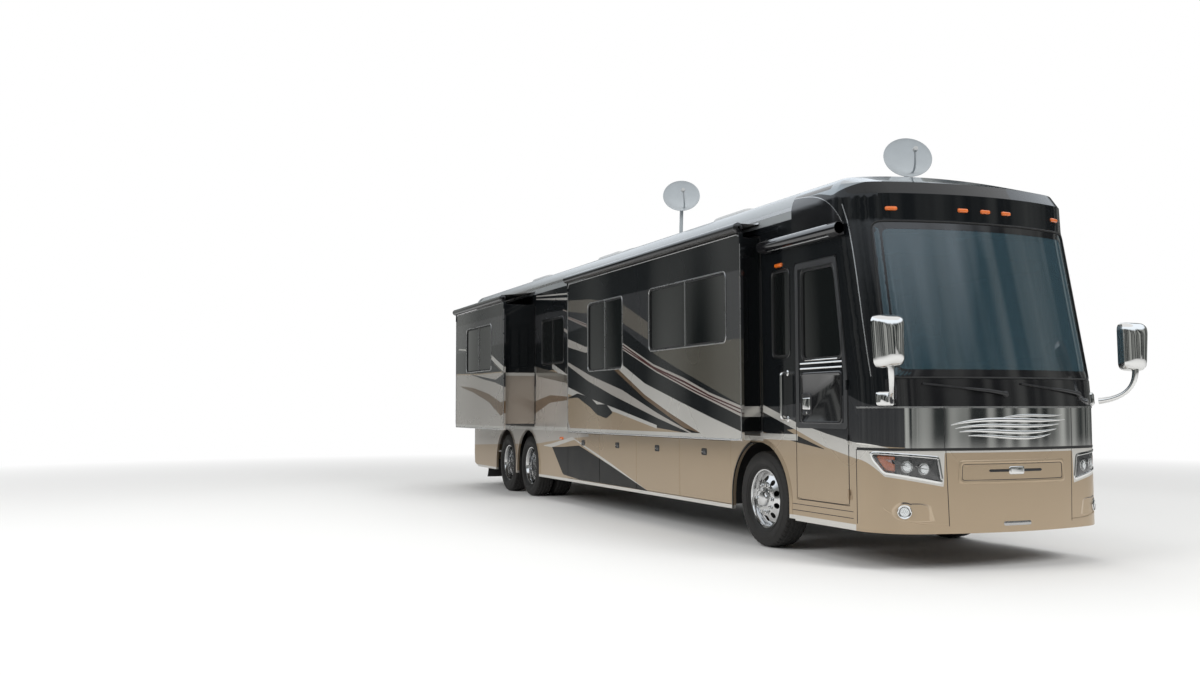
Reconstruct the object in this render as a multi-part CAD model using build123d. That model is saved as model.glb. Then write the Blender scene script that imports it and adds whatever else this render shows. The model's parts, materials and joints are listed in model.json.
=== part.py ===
from build123d import *
import os
from functools import cache
from math import asin, cos, degrees, radians, sqrt

# A three-axle motorhome with slide-out rooms, in millimetres.
# The front faces -Y, +Z is up, the entry door is on the -X side and the ground is Z = 0.
# A station is a distance behind the nose. Heights are above the ground.

# Whole vehicle
LENGTH = 13690
HALF_WIDTH = 1285
CROWN_HEIGHT = 3700
ROOF_RISE = 100
ROOF_SHOULDER = CROWN_HEIGHT - ROOF_RISE
ROOF_CORNER = 230
MIRROR_REACH = 150
ORIGIN = (LENGTH - MIRROR_REACH) / 2
RIGHT = -1
LEFT = 1

# Height lines
SKIRT_BOTTOM = 350
BELT = 1140
FLOOR_TOP = 1200
FLOOR_THICK = 80
ROOF_EDGE_DROP = 370
ROOF_EDGE = CROWN_HEIGHT - ROOF_EDGE_DROP
BAND_BOTTOM = 1078
BAND_TOP = 1440

# Shell thicknesses and running gaps
WALL = 50
ROOF_THICK = 55
CAP_WALL = 40
SKIN = 30
SEAM = 6
SEAT = 0.3

# Plan of the nose and of the tail
NOSE_RADIUS = 3270
NOSE_CORNER = 480
CAP_REAR = 1660
TAIL_DEPTH = 540
TAIL_FRONT = LENGTH - TAIL_DEPTH
TAIL_RADIUS = 6000
TAIL_CORNER = 170

# Axles: stations behind the nose
FRONT_AXLE = 2340
REAR_OVERHANG = 2350
TAG_SPACING = 1240
TAG_AXLE = LENGTH - REAR_OVERHANG
DRIVE_AXLE = TAG_AXLE - TAG_SPACING
TYRE_RADIUS = 500
TYRE_HALF_WIDTH = 145
BEAD_RADIUS = 284
WHEEL_OUT = 1120
DUAL_SPACING = 335
KINGPIN_OUT = 880
ARCH_RADIUS = 590

# Entry door
DOOR_FRONT = 720
DOOR_REAR = 1620
DOOR_BOTTOM = 552
DOOR_TOP = 2870
DOOR_TAPER_FROM = 1750
DOOR_TOP_FRONT = 880
DOOR_THICK = 42

# Slide-out rooms
SLIDE_BOTTOM = 1100
SLIDE_SKIN = 30
SLIDE_WALL = 35
SLIDE_FLANGE = 32
SLIDE_GAP = 12
SLIDE_LAP = 60
TOPPER_RADIUS = 48
TOPPER_OFFSET = 30

# Baggage bays
BAY_START = FRONT_AXLE + ARCH_RADIUS + 50
BAY_END = DRIVE_AXLE - 1920
BAY_COUNT = 4
BAY_LENGTH = (BAY_END - BAY_START) / BAY_COUNT
SILL_HEIGHT = 44
BAY_DOOR_BOTTOM = SKIRT_BOTTOM + SILL_HEIGHT + SEAM
BAY_DOOR_TOP = 1081
PIVOT_RADIUS = 6
PIVOT_INSET = 12
PAN_BOTTOM = 400
PAN_THICK = 25

# Chassis
RAIL_IN = 380
RAIL_OUT = 450
RAIL_BOTTOM = 640
RAIL_TOP = 880

# Length that a leaning outline runs past its open end before it is cut there
OVERRUN = 1100

# Nose slices: height, station of the foremost point
NOSE_SLICES = [
    (BAND_TOP, 0),
    (1690, 20),
    (CROWN_HEIGHT - 530, 330),
    (CROWN_HEIGHT - 290, 345),
    (CROWN_HEIGHT - 165, 450),
    (CROWN_HEIGHT + 20, 1040),
]

# Tail slices: height, distance of the rearmost point ahead of the tail plane
TAIL_SLICES = [
    (SKIRT_BOTTOM, 40),
    (600, 0),
    (CROWN_HEIGHT - 550, 60),
    (CROWN_HEIGHT - 220, 110),
    (CROWN_HEIGHT + 20, 250),
]

# Windows in the fixed body: side, front, rear, bottom, top, corner radius
CAP_WINDOWS = [
    (LEFT, 960, 1600, 1950, 2840, 70),
]
WALL_WINDOWS = [
    (RIGHT, 1720, 2060, 1950, 2840, 60),
    (RIGHT, 8360, 9400, 2150, 2870, 70),
    (LEFT, 1760, 2600, 1950, 2840, 60),
]
GLASS_THICK = 8
GLASS_INSET = 12

# Windshield opening
SCREEN_HALF = 1150
SCREEN_BOTTOM = 1705
SCREEN_TOP = CROWN_HEIGHT - 550
SCREEN_DEPTH = 800

# Chrome band of the nose
BAND_HALF = 1060
BAND_THICK = 8

# Lamps in the lower nose: outline corners (x, height) on the +X side
HEADLAMP = [(746, 778), (1194, 866), (1240, 968), (1258, 1044), (779, 1000)]
FOG_LAMP_OUT = 1070
FOG_LAMP_HEIGHT = 528
FOG_LAMP_RADIUS = 60

# Engine door, its pins and the undercut of the tail
ENGINE_DOOR_HALF = 820
ENGINE_DOOR_BOTTOM = 620
ENGINE_DOOR_TOP = 1650
ENGINE_DOOR_THICK = 35
HATCH_PIN = 7
HATCH_INSET = 13
HATCH_GAP = 16
HATCH_LUG_IN = 100
HATCH_LUG_LONG = 40
UNDERCUT = 500
HITCH_HALF = 38
HITCH_TOP = UNDERCUT - 24

# Tail lamps
LAMP_SINK = 25
TAIL_LAMP_OUT = 1130
TAIL_LAMP_HALF = 70
TAIL_LAMP_BOTTOM = 800
TAIL_LAMP_TOP = 1180

# Chassis frame and tow eyes
RAIL_FRONT = 500
RAIL_REAR = LENGTH - 400
CROSS_MEMBERS = (560, 1500, 3300, 5900, 8500)
CROSS_MEMBERS += (DRIVE_AXLE - 700, DRIVE_AXLE + 600, TAIL_FRONT - 1150, TAIL_FRONT)
OUTRIGGERS = (900, 3400, 6000, 8700, DRIVE_AXLE + 600, TAIL_FRONT - 150)
TOW_EYE_THICK = 30
TOW_EYE_HEIGHT = 515
TOW_EYE_RADIUS = 20
TOW_EYE_STATION = RAIL_FRONT - 45

# Entry step
STEP_DEPTH = 640
STEP_RISE = 190

# Slide-out rooms: side, stand-out from the wall, front and rear of the outer panel, its top,
# and windows as (front, rear, bottom, top)
ROOM_REAR = TAIL_FRONT - 350
SLIDES = [
    {
        "name": "slide_right_front",
        "side": RIGHT,
        "out": 250,
        "front": CAP_REAR + 610,
        "rear": DRIVE_AXLE - 2590,
        "top": ROOF_EDGE - 60,
        "windows": [
            (CAP_REAR + 940, CAP_REAR + 2940, 2140, ROOF_EDGE - 430),
            (DRIVE_AXLE - 4660, DRIVE_AXLE - 3420, 1960, ROOF_EDGE - 430),
        ],
    },
    {
        "name": "slide_right_rear",
        "side": RIGHT,
        "out": 545,
        "front": DRIVE_AXLE - 380,
        "rear": ROOM_REAR,
        "top": ROOF_EDGE - 130,
        "windows": [(ROOM_REAR - 2350, ROOM_REAR - 750, 2100, ROOF_EDGE - 450)],
    },
    {
        "name": "slide_left",
        "side": LEFT,
        "out": 545,
        "front": CAP_REAR + 1240,
        "rear": ROOM_REAR,
        "top": ROOF_EDGE - 130,
        "windows": [
            (CAP_REAR + 1640, CAP_REAR + 3240, 2100, ROOF_EDGE - 450),
            (DRIVE_AXLE - 4100, DRIVE_AXLE - 2900, 2100, ROOF_EDGE - 450),
            (DRIVE_AXLE - 200, DRIVE_AXLE + 1400, 2100, ROOF_EDGE - 450),
        ],
    },
]

# Entry door window and hinges
DOOR_WINDOW = (800, 1500, 1900, 2800, 70)
DOOR_HINGES = (650, 1150, 1650)
HINGE_HALF = 45
HINGE_RADIUS = 11
HINGE_STAND = 13
HINGE_SHEET = 4
HINGE_LEAF = 40

# Rims
WHEEL_SIDES = 20
HUB_SIDES = 10
HAND_HOLE_RING = 205
HAND_HOLE_HALF = 26
HAND_HOLE_COUNT = 10
SPINDLE = 45
FLANGE = 21
BEAD_HALF = 98
LIP_HALF = 108

# Discs: the outer face and the hollow behind it as (offset outward from the rim's middle, radius)
CONVEX_FACE = [(48, BEAD_RADIUS - 8), (66, 250), (108, 172)]
CONVEX_BACK = [(40, 262), (48, 240), (88, 160)]
CONVEX_HUB = [(0, 92), (112, 92), (122, 76), (152, 66)]
CONCAVE_FACE = [(-150, 150), (-136, 226), (-84, BEAD_RADIUS - 8)]
CONCAVE_HUB = [(-166, 118), (-60, 96), (-8, 84), (8, 66)]

# Air springs
SPRING_HALF = 95

# Kingpins and knuckles
EYE_HALF = 60
EYE_RADIUS = 48
KINGPIN = 22
EAR = 34
EAR_HALF_WIDTH = 45
YOKE_IN = 940
YOKE_OUT = 965
STEERING_ARM_HALF = 20
STEERING_ARM_REACH = 190

# Front beam on the +X side, inward from the kingpin: width, then height over the wheel's middle
BEAM_HALF = 45
BEAM_LOWER = [(KINGPIN_OUT, -40), (620, -40), (480, -110)]
BEAM_UPPER = [(460, -20), (600, 40), (KINGPIN_OUT, 40)]

# Axle tubes
AXLE_END = WHEEL_OUT - 62
AXLE_TUBE = 65
DRIVE_HOUSING = 190
TAG_HOUSING = 80

# Engine
ENGINE_ENDS = (TAIL_FRONT - 900, TAIL_FRONT - 70)
ENGINE_BOTTOM = 560

# Dashboard, in the side view as (station, height), and the steering wheel
DASH_HALF = 1130
DASH_SHELF = [(430, 1330), (860, 1330), (900, 1560), (820, 1660), (430, 1640)]
DASH_FOOT = [(430, FLOOR_TOP), (760, FLOOR_TOP), (780, 1340), (430, 1340)]
DASH_TOP = 1700
DOORWAY_IN = 580
STEERING_X = 620
STEERING_STATION = 1010
STEERING_HEIGHT = 1660
STEERING_RADIUS = 230
STEERING_RIM = 28
STEERING_TILT = 55

# Cab seats: middles, pedestal and cushion as (half width, front, rear, bottom, top), and the back
SEAT_MIDDLES = (-600, 640)
SEAT_PEDESTAL = (200, 1500, 1900, FLOOR_TOP, 1500)
SEAT_CUSHION = (270, 1420, 1960, 1500, 1660)
SEAT_BACK = [(1880, 1600), (2030, 1600), (2180, 2320), (2060, 2340)]
SEAT_BACK_HALF = 260
SEAT_BACK_ROUND = 30

# Mirrors: head, foot as (x from, x to, front, rear, bottom, top), arm as (x, station, height)
MIRROR_OUT = 1380
MIRROR_STATION = -70
MIRROR_HEIGHT = 2005
MIRROR_SIZE = (320, 160, 480)
MIRROR_ROUND = 45
MIRROR_FOOT = (1130, 1230, 150, 330, 1460, 1580)
MIRROR_ARM = [(1180, 200, 1530), (1300, -20, 1640), (MIRROR_OUT, -50, 1800)]
MIRROR_ARM_RADIUS = 26

# Wipers: pivot and tip as x
WIPER_ENDS = ((-150, -800), (820, 250))
WIPER_FOOT = 1560
WIPER_TIP = 1640
WIPER_WIDE = 22

# Roof units: x, front, rear, half width, height over the crown
ROOF_UNITS = [
    (0, 4300, 5250, 350, 260),
    (0, DRIVE_AXLE - 1650, DRIVE_AXLE - 700, 350, 260),
    (0, TAIL_FRONT - 1250, TAIL_FRONT - 300, 350, 260),
    (-500, 7000, 7450, 225, 100),
    (500, DRIVE_AXLE + 100, DRIVE_AXLE + 550, 225, 100),
]
UNIT_CHAMFER = 65

# Satellite dishes: x, station, height of the bowl's middle over the crown
DISHES = [
    (-600, 5600, 570),
    (0, 1500, 290),
]
DISH_RADIUS = 245
DISH_DEPTH = 62
DISH_SHEET = 8
DISH_BLOCK = (120, 120, 75)
DISH_TURN = (65, 0, -20)

# Door awning
AWNING_ENDS = (740, 2190)
AWNING_HEIGHT = 3105
AWNING_RADIUS = 55
AWNING_BACK_HALF = 35

# Hitch
HITCH_BORE = 50.8
HITCH_PIN_RADIUS = 8
HITCH_PIN_AHEAD = 70


def block(x0, x1, s0, s1, z0, z1):
    """A box between two widths, two stations and two heights."""
    centre = Pos((x0 + x1) / 2, (s0 + s1) / 2 - ORIGIN, (z0 + z1) / 2)
    return centre * Box(abs(x1 - x0), abs(s1 - s0), abs(z1 - z0))


def side_prism(points, x0, x1, radius=0):
    """A side view outline of (station, height) corners, carried from width x0 to x1."""
    face = Polygon(*[(s - ORIGIN, z) for s, z in points], align=None)
    if radius:
        face = fillet(face.vertices(), radius)
    return extrude(Plane.YZ.offset(min(x0, x1)) * face, amount=abs(x1 - x0), dir=(1, 0, 0))


def side_window(s0, s1, z0, z1, x0, x1, radius):
    """A rounded window outline in the side view, carried from width x0 to x1."""
    return side_prism([(s0, z0), (s1, z0), (s1, z1), (s0, z1)], x0, x1, radius)


def front_plane(station):
    """A plane across the vehicle that looks forward: local x is X and local y is Z."""
    return Plane(origin=(0, station - ORIGIN, 0), x_dir=(1, 0, 0), z_dir=(0, -1, 0))


def front_prism(points, s0, s1, radius=0):
    """A front view outline of (x, height) corners, carried from station s1 forward to s0."""
    face = Polygon(*points, align=None)
    if radius:
        face = fillet(face.vertices(), radius)
    return extrude(front_plane(s1) * face, amount=s1 - s0, dir=(0, -1, 0))


def cross_tube(x0, x1, station, z, radius):
    """A round bar across the vehicle."""
    bar = Cylinder(radius, abs(x1 - x0), rotation=(0, 90, 0))
    return Pos((x0 + x1) / 2, station - ORIGIN, z) * bar


def long_tube(x, s0, s1, z, radius):
    """A round bar along the vehicle."""
    bar = Cylinder(radius, abs(s1 - s0), rotation=(90, 0, 0))
    return Pos(x, (s0 + s1) / 2 - ORIGIN, z) * bar


def post(x, station, z0, z1, radius):
    """A round bar that stands upright."""
    return Pos(x, station - ORIGIN, (z0 + z1) / 2) * Cylinder(radius, abs(z1 - z0))


def other_side(shape):
    """The same piece on the other side of the vehicle."""
    return mirror(shape, about=Plane.YZ)


def on_side(side, shape):
    """A piece drawn on the +X side, moved to the side that is asked for."""
    return shape if side > 0 else other_side(shape)


# Body forms


def bowed_face(half, tip, foot, bow, corner):
    """A straight-sided outline whose far end, at y = tip, is bowed with two tangent round corners."""
    bow_y = tip - bow
    corner_x = half - corner
    corner_y = bow_y + sqrt((bow - corner) ** 2 - corner_x**2)
    tilt = Vector(corner_x, corner_y - bow_y).normalized()
    bow_end = Vector(0, bow_y) + tilt * bow
    between = (tilt + Vector(1, 0)).normalized()
    corner_mid = Vector(corner_x, corner_y) + between * corner
    side_end = Vector(half, corner_y)

    def flip(point):
        return Vector(-point.X, point.Y)

    bow_arc = ThreePointArc(flip(bow_end), (0, tip), bow_end)
    right = ThreePointArc(bow_end, corner_mid, side_end)
    sides = Polyline(side_end, (half, foot), (-half, foot), flip(side_end))
    left = ThreePointArc(flip(side_end), flip(corner_mid), flip(bow_end))
    return make_face(Curve() + [bow_arc, right, sides, left])


@cache
def section_prism(inset, s0, s1):
    """The cross-section of the body, with its rounded roof corners, carried along the length."""
    rise = CROWN_HEIGHT - ROOF_SHOULDER
    bow = (HALF_WIDTH**2 + rise**2) / (2 * rise)
    face = bowed_face(HALF_WIDTH - inset, CROWN_HEIGHT - inset, 0, bow - inset, ROOF_CORNER - inset)
    return extrude(front_plane(s1) * face, amount=s1 - s0, dir=(0, -1, 0))


def plan_face(z, nose, inset, rear, bow, corner):
    """A level slice of a cap, with its bowed end forward and its open end at station rear."""
    face = bowed_face(HALF_WIDTH - inset, -nose - inset, -rear, bow - inset, corner - inset)
    return Pos(0, -ORIGIN, z) * Rot(0, 0, 180) * face


def leaning_form(slices, inset, rear, bow, corner):
    """A cap's solid: one plan outline carried up from slice to slice while it leans back."""
    form = []
    for (z0, back0), (z1, back1) in zip(slices, slices[1:]):
        face = plan_face(z0, back0, inset, rear + OVERRUN, bow, corner)
        lean = Vector(0, back1 - back0, z1 - z0)
        form.append(extrude(face, amount=lean.length, dir=lean))
    return form[0].fuse(*form[1:])


@cache
def nose_form(inset, rear=CAP_REAR):
    """The upper nose: it leans back with height, under the roof section."""
    return leaning_form(NOSE_SLICES, inset, rear, NOSE_RADIUS, NOSE_CORNER) & section_prism(inset, 0, rear)


@cache
def nose_column(inset, z0, z1, rear=CAP_REAR):
    """The upright lower nose."""
    face = plan_face(z0, 0, inset, rear, NOSE_RADIUS, NOSE_CORNER)
    return extrude(face, amount=z1 - z0)


@cache
def tail_form(inset, front=TAIL_FRONT):
    """The rear cap: a leaning form like the nose, turned round."""
    form = Pos(0, ORIGIN, 0) * leaning_form(TAIL_SLICES, inset, LENGTH - front, TAIL_RADIUS, TAIL_CORNER)
    turned_round = Pos(0, LENGTH - ORIGIN, 0) * Rot(0, 0, 180) * form
    return turned_round & section_prism(inset, front, LENGTH)


def door_outline(grow):
    """The entry door in side view; its front edge slopes back with the nose."""
    return [
        (DOOR_FRONT - grow, DOOR_BOTTOM - grow),
        (DOOR_REAR + grow, DOOR_BOTTOM - grow),
        (DOOR_REAR + grow, DOOR_TOP + grow),
        (DOOR_TOP_FRONT - grow, DOOR_TOP + grow),
        (DOOR_FRONT - grow, DOOR_TAPER_FROM),
    ]


def window_cut(side, s0, s1, z0, z1, radius, out=HALF_WIDTH, thick=WALL):
    """The hole of a window, through a wall whose outer face is at width out."""
    hole = side_window(s0, s1, z0, z1, out - thick - 5, out + 5, radius)
    return on_side(side, hole)


def window_pane(side, s0, s1, z0, z1, radius, out=HALF_WIDTH):
    """The pane that fills a window's hole."""
    pane = side_window(s0, s1, z0, z1, out - GLASS_INSET - GLASS_THICK, out - GLASS_INSET, radius)
    return on_side(side, pane)


def screen_prism():
    """The front view outline of the windshield."""
    outline = [
        (-SCREEN_HALF, SCREEN_BOTTOM),
        (SCREEN_HALF, SCREEN_BOTTOM),
        (SCREEN_HALF - 30, SCREEN_TOP),
        (-SCREEN_HALF + 30, SCREEN_TOP),
    ]
    return front_prism(outline, -50, SCREEN_DEPTH, 80)


def band_prism():
    """The front view outline of the bright band under the windshield."""
    return front_prism(
        [(-BAND_HALF, BAND_BOTTOM), (BAND_HALF, BAND_BOTTOM), (BAND_HALF, BAND_TOP), (-BAND_HALF, BAND_TOP)],
        -50,
        500,
    )


def door_opening():
    """The hole for the entry door, through everything on its side."""
    return side_prism(door_outline(SEAM), -HALF_WIDTH - 5, -HALF_WIDTH + 120)


def make_front_cap():
    """The moulded upper nose with its door and window openings."""
    outer = nose_form(0) + nose_column(0, BAND_BOTTOM, BAND_TOP)
    rear = CAP_REAR + 100
    inner = nose_form(CAP_WALL, rear) + nose_column(CAP_WALL, BAND_BOTTOM - 5, BAND_TOP, rear)
    cap = outer - inner
    cap -= screen_prism()
    band = nose_column(0, BAND_BOTTOM, BAND_TOP) - nose_column(BAND_THICK, BAND_BOTTOM, BAND_TOP)
    cap -= band & band_prism()
    cap -= door_opening()
    for window in CAP_WINDOWS:
        cap -= window_cut(*window)
    for z in DOOR_HINGES[1:]:
        cap += door_hinge(z, False)
    return cap


def make_nose_band():
    """The bright plate across the nose."""
    band = nose_column(0, BAND_BOTTOM, BAND_TOP) - nose_column(BAND_THICK, BAND_BOTTOM, BAND_TOP)
    return band & band_prism()


def make_windshield():
    """One curved pane across the nose."""
    filled = nose_form(GLASS_INSET) & screen_prism()
    return filled - nose_form(GLASS_INSET + GLASS_THICK, CAP_REAR + 100)


def lamp_prism(side, depth=600):
    """The front view outline of a headlamp."""
    points = [(x * side, z) for x, z in HEADLAMP]
    return front_prism(points, -50, depth)


def fog_prism(side):
    """The round hole of a fog lamp, square to the nose's corner where it stands."""
    corner_x = HALF_WIDTH - NOSE_CORNER
    turn = degrees(asin((FOG_LAMP_OUT - corner_x) / NOSE_CORNER))
    corner_station = NOSE_RADIUS - sqrt((NOSE_RADIUS - NOSE_CORNER) ** 2 - corner_x**2)
    station = corner_station - NOSE_CORNER * cos(radians(turn))
    place = Pos(side * FOG_LAMP_OUT, station - ORIGIN, FOG_LAMP_HEIGHT) * Rot(0, 0, side * turn)
    return place * Cylinder(FOG_LAMP_RADIUS, 3 * CAP_WALL, rotation=(90, 0, 0))


def make_front_fascia():
    """The lower nose and bumper, down to its turned-in lip, with the lamp pockets."""
    outer = nose_column(0, SKIRT_BOTTOM - 15, BAND_BOTTOM)
    inner = nose_column(CAP_WALL, SKIRT_BOTTOM - 20, BAND_BOTTOM + 5, CAP_REAR + 100)
    fascia = outer - inner
    pocket = nose_column(0, SKIRT_BOTTOM, BAND_BOTTOM) - nose_column(CAP_WALL - 8, SKIRT_BOTTOM, BAND_BOTTOM)
    for side in (RIGHT, LEFT):
        fascia -= pocket & lamp_prism(side)
        fascia -= pocket & fog_prism(side)
    fascia -= door_opening()
    return fascia + door_hinge(DOOR_HINGES[0], False)


def make_headlamps():
    """Lamp units that fill their pockets in the lower nose."""
    unit = nose_column(6, SKIRT_BOTTOM, BAND_BOTTOM) - nose_column(CAP_WALL - 8, SKIRT_BOTTOM, BAND_BOTTOM)
    lamps = []
    for side in (RIGHT, LEFT):
        lamps.append(unit & lamp_prism(side))
        lamps.append(unit & fog_prism(side))
    return Compound(children=[solid for lamp in lamps for solid in lamp.solids()])


def make_wall(side):
    """A side wall between the caps, with holes for its windows and slide-out rooms."""
    wall = block(HALF_WIDTH - WALL, HALF_WIDTH, CAP_REAR, TAIL_FRONT, BELT, ROOF_EDGE)
    wall = on_side(side, wall)
    for window in WALL_WINDOWS:
        if window[0] == side:
            wall -= window_cut(*window)
    for room in SLIDES:
        if room["side"] == side:
            wall -= slide_opening(room)
    return wall


def make_roof():
    """The curved roof with its rounded edges."""
    roof = section_prism(0, CAP_REAR, TAIL_FRONT) - section_prism(ROOF_THICK, CAP_REAR - 5, TAIL_FRONT + 5)
    return roof - block(-HALF_WIDTH - 5, HALF_WIDTH + 5, CAP_REAR - 5, TAIL_FRONT + 5, -5, ROOF_EDGE)


def tail_face(z):
    """The station of the tail's middle at a height between its second and third slices."""
    (z0, ahead0), (z1, ahead1) = TAIL_SLICES[1:3]
    return LENGTH - ahead0 - (ahead1 - ahead0) * (z - z0) / (z1 - z0)


def hatch_axis():
    """Station and height of the engine door's hinge pin."""
    z = ENGINE_DOOR_TOP - HATCH_INSET
    return tail_face(z) - HATCH_INSET, z


def engine_door_prism(grow, top_gap=0):
    """The rear view outline of the engine door."""
    half = ENGINE_DOOR_HALF + grow
    bottom = ENGINE_DOOR_BOTTOM - grow
    top = ENGINE_DOOR_TOP + top_gap
    corners = [(-half, bottom), (half, bottom), (half, top), (-half, top)]
    return front_prism(corners, LENGTH - 250, LENGTH + 50)


def hatch_lug(side, grow):
    """One fixed lug of the engine door's hinge, or with grow the notch in the door around it."""
    station, z = hatch_axis()
    x0 = side * (HATCH_LUG_IN - grow)
    x1 = side * (HATCH_LUG_IN + HATCH_LUG_LONG + grow)
    reach = HATCH_PIN + 1 + grow
    return block(x0, x1, station - reach, station + reach + grow, z - reach, ENGINE_DOOR_TOP + HATCH_GAP + 5)


def make_rear_cap():
    """The moulded tail: raised lower edge, engine door opening with its hinge, and lamp pockets."""
    cap = tail_form(0) - tail_form(CAP_WALL, TAIL_FRONT - 100)
    cap -= engine_door_prism(SEAM, HATCH_GAP)
    below = [(TAIL_FRONT, 0), (LENGTH + 5, 0), (LENGTH + 5, UNDERCUT), (TAIL_FRONT, SKIRT_BOTTOM)]
    cap -= side_prism(below, -HALF_WIDTH - 5, HALF_WIDTH + 5)
    for side in (RIGHT, LEFT):
        cap -= tail_lamp_prism(side) & (tail_form(0) - tail_form(LAMP_SINK))
        cap += hatch_lug(side, 0)
    station, z = hatch_axis()
    reach = HATCH_LUG_IN + HATCH_LUG_LONG
    return cap + cross_tube(-reach, reach, station, z, HATCH_PIN)


def make_engine_door():
    """The engine door, which swings up on a pin inside its top edge."""
    door = (tail_form(0) - tail_form(ENGINE_DOOR_THICK)) & engine_door_prism(0)
    for side in (RIGHT, LEFT):
        door -= hatch_lug(side, SEAM)
    station, z = hatch_axis()
    return door - cross_tube(-HATCH_LUG_IN, HATCH_LUG_IN, station, z, HATCH_PIN + SEAT)


def tail_lamp_prism(side):
    """The rear view outline of a tail lamp."""
    x0 = side * (TAIL_LAMP_OUT - TAIL_LAMP_HALF)
    x1 = side * (TAIL_LAMP_OUT + TAIL_LAMP_HALF)
    return block(x0, x1, LENGTH - 300, LENGTH + 50, TAIL_LAMP_BOTTOM, TAIL_LAMP_TOP)


def make_tail_lamps():
    """Tail lamps that fill their pockets."""
    skin = tail_form(0) - tail_form(LAMP_SINK)
    lamps = [skin & tail_lamp_prism(side) for side in (RIGHT, LEFT)]
    return Compound(children=[solid for lamp in lamps for solid in lamp.solids()])


# Skirt, bays and floor


def arch(station, x0, x1):
    """The round cut of a wheel arch, open below."""
    round_cut = cross_tube(x0, x1, station, TYRE_RADIUS, ARCH_RADIUS)
    below = block(x0, x1, station - ARCH_RADIUS, station + ARCH_RADIUS, 0, TYRE_RADIUS)
    return round_cut + below


def make_skirt(side):
    """The fixed lower side: arch panels, the rail over the bay doors and the sill under them."""
    inner = HALF_WIDTH - SKIN
    skirt = block(inner, HALF_WIDTH, CAP_REAR, TAIL_FRONT, SKIRT_BOTTOM, BELT)
    skirt += block(HALF_WIDTH - SKIN - 15, inner, BAY_START, BAY_END, BAY_DOOR_TOP + 8, BELT)
    skirt -= block(inner - 20, HALF_WIDTH + 5, BAY_START, BAY_END, BAY_DOOR_BOTTOM - SEAM, BAY_DOOR_TOP + 8)
    for station in (FRONT_AXLE, DRIVE_AXLE, TAG_AXLE):
        skirt -= arch(station, inner - 20, HALF_WIDTH + 5)
    for index in range(BAY_COUNT):
        station, x = bay_pivot(index)
        skirt += post(x, station, BAY_DOOR_BOTTOM - SEAM, BAY_DOOR_TOP + 8, PIVOT_RADIUS)
    return on_side(side, skirt)


def bay_pivot(index):
    """Station and width of a bay door's upright pivot rod."""
    return BAY_START + index * BAY_LENGTH + SEAM + PIVOT_INSET, HALF_WIDTH - PIVOT_INSET


def make_bay_door(side, index):
    """A baggage door that swings out on a rod inside its rounded front edge."""
    front = BAY_START + index * BAY_LENGTH + SEAM
    rear = front + BAY_LENGTH - 2 * SEAM
    door = block(HALF_WIDTH - SKIN, HALF_WIDTH, front, rear, BAY_DOOR_BOTTOM, BAY_DOOR_TOP)
    front_edge = door.edges().filter_by(Axis.Z).sort_by(Axis.Y)[:2].sort_by(Axis.X)[-1]
    door = fillet(front_edge, PIVOT_INSET - 0.5)
    station, x = bay_pivot(index)
    door -= post(x, station, BAY_DOOR_BOTTOM - 5, BAY_DOOR_TOP + 5, PIVOT_RADIUS + SEAT)
    return on_side(side, door)


def make_basement():
    """The bay floor, its bulkheads and the inner walls beside the front wheels."""
    wide = HALF_WIDTH - SKIN - 15
    under_floor = FLOOR_TOP - FLOOR_THICK
    pan = block(-wide, wide, BAY_START, BAY_END, PAN_BOTTOM, PAN_BOTTOM + PAN_THICK)
    for index in range(BAY_COUNT + 1):
        station = BAY_START + index * BAY_LENGTH
        pan += block(-wide, wide, station - 10, station + 10, PAN_BOTTOM, under_floor)
    return pan - chassis_envelope()


def chassis_envelope():
    """The room that the two frame rails take."""
    rails = block(RAIL_IN, RAIL_OUT, RAIL_FRONT, RAIL_REAR, RAIL_BOTTOM, RAIL_TOP)
    return rails + other_side(rails)


def make_chassis_frame():
    """Two boxed rails, their cross members and the outriggers that carry the body."""
    frame = chassis_envelope()
    under_floor = FLOOR_TOP - FLOOR_THICK
    for station in CROSS_MEMBERS:
        frame += block(-RAIL_IN, RAIL_IN, station - 40, station + 40, RAIL_BOTTOM + 40, RAIL_TOP - 40)
    for station in OUTRIGGERS:
        frame += block(RAIL_IN, RAIL_OUT, station - 30, station + 30, RAIL_TOP, under_floor)
        frame += block(-RAIL_OUT, -RAIL_IN, station - 30, station + 30, RAIL_TOP, under_floor)
    middle = (RAIL_IN + RAIL_OUT) / 2
    low = TOW_EYE_HEIGHT - TOW_EYE_THICK / 2
    high = TOW_EYE_HEIGHT + TOW_EYE_THICK / 2
    for side in (RIGHT, LEFT):
        x = side * middle
        frame += block(x - 40, x + 40, TOW_EYE_STATION - 40, RAIL_FRONT + 100, low, high)
        frame += block(x - 12, x + 12, RAIL_FRONT, RAIL_FRONT + 100, low, RAIL_BOTTOM)
        frame -= post(x, TOW_EYE_STATION, low - 5, high + 5, TOW_EYE_RADIUS)
    return frame


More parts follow.
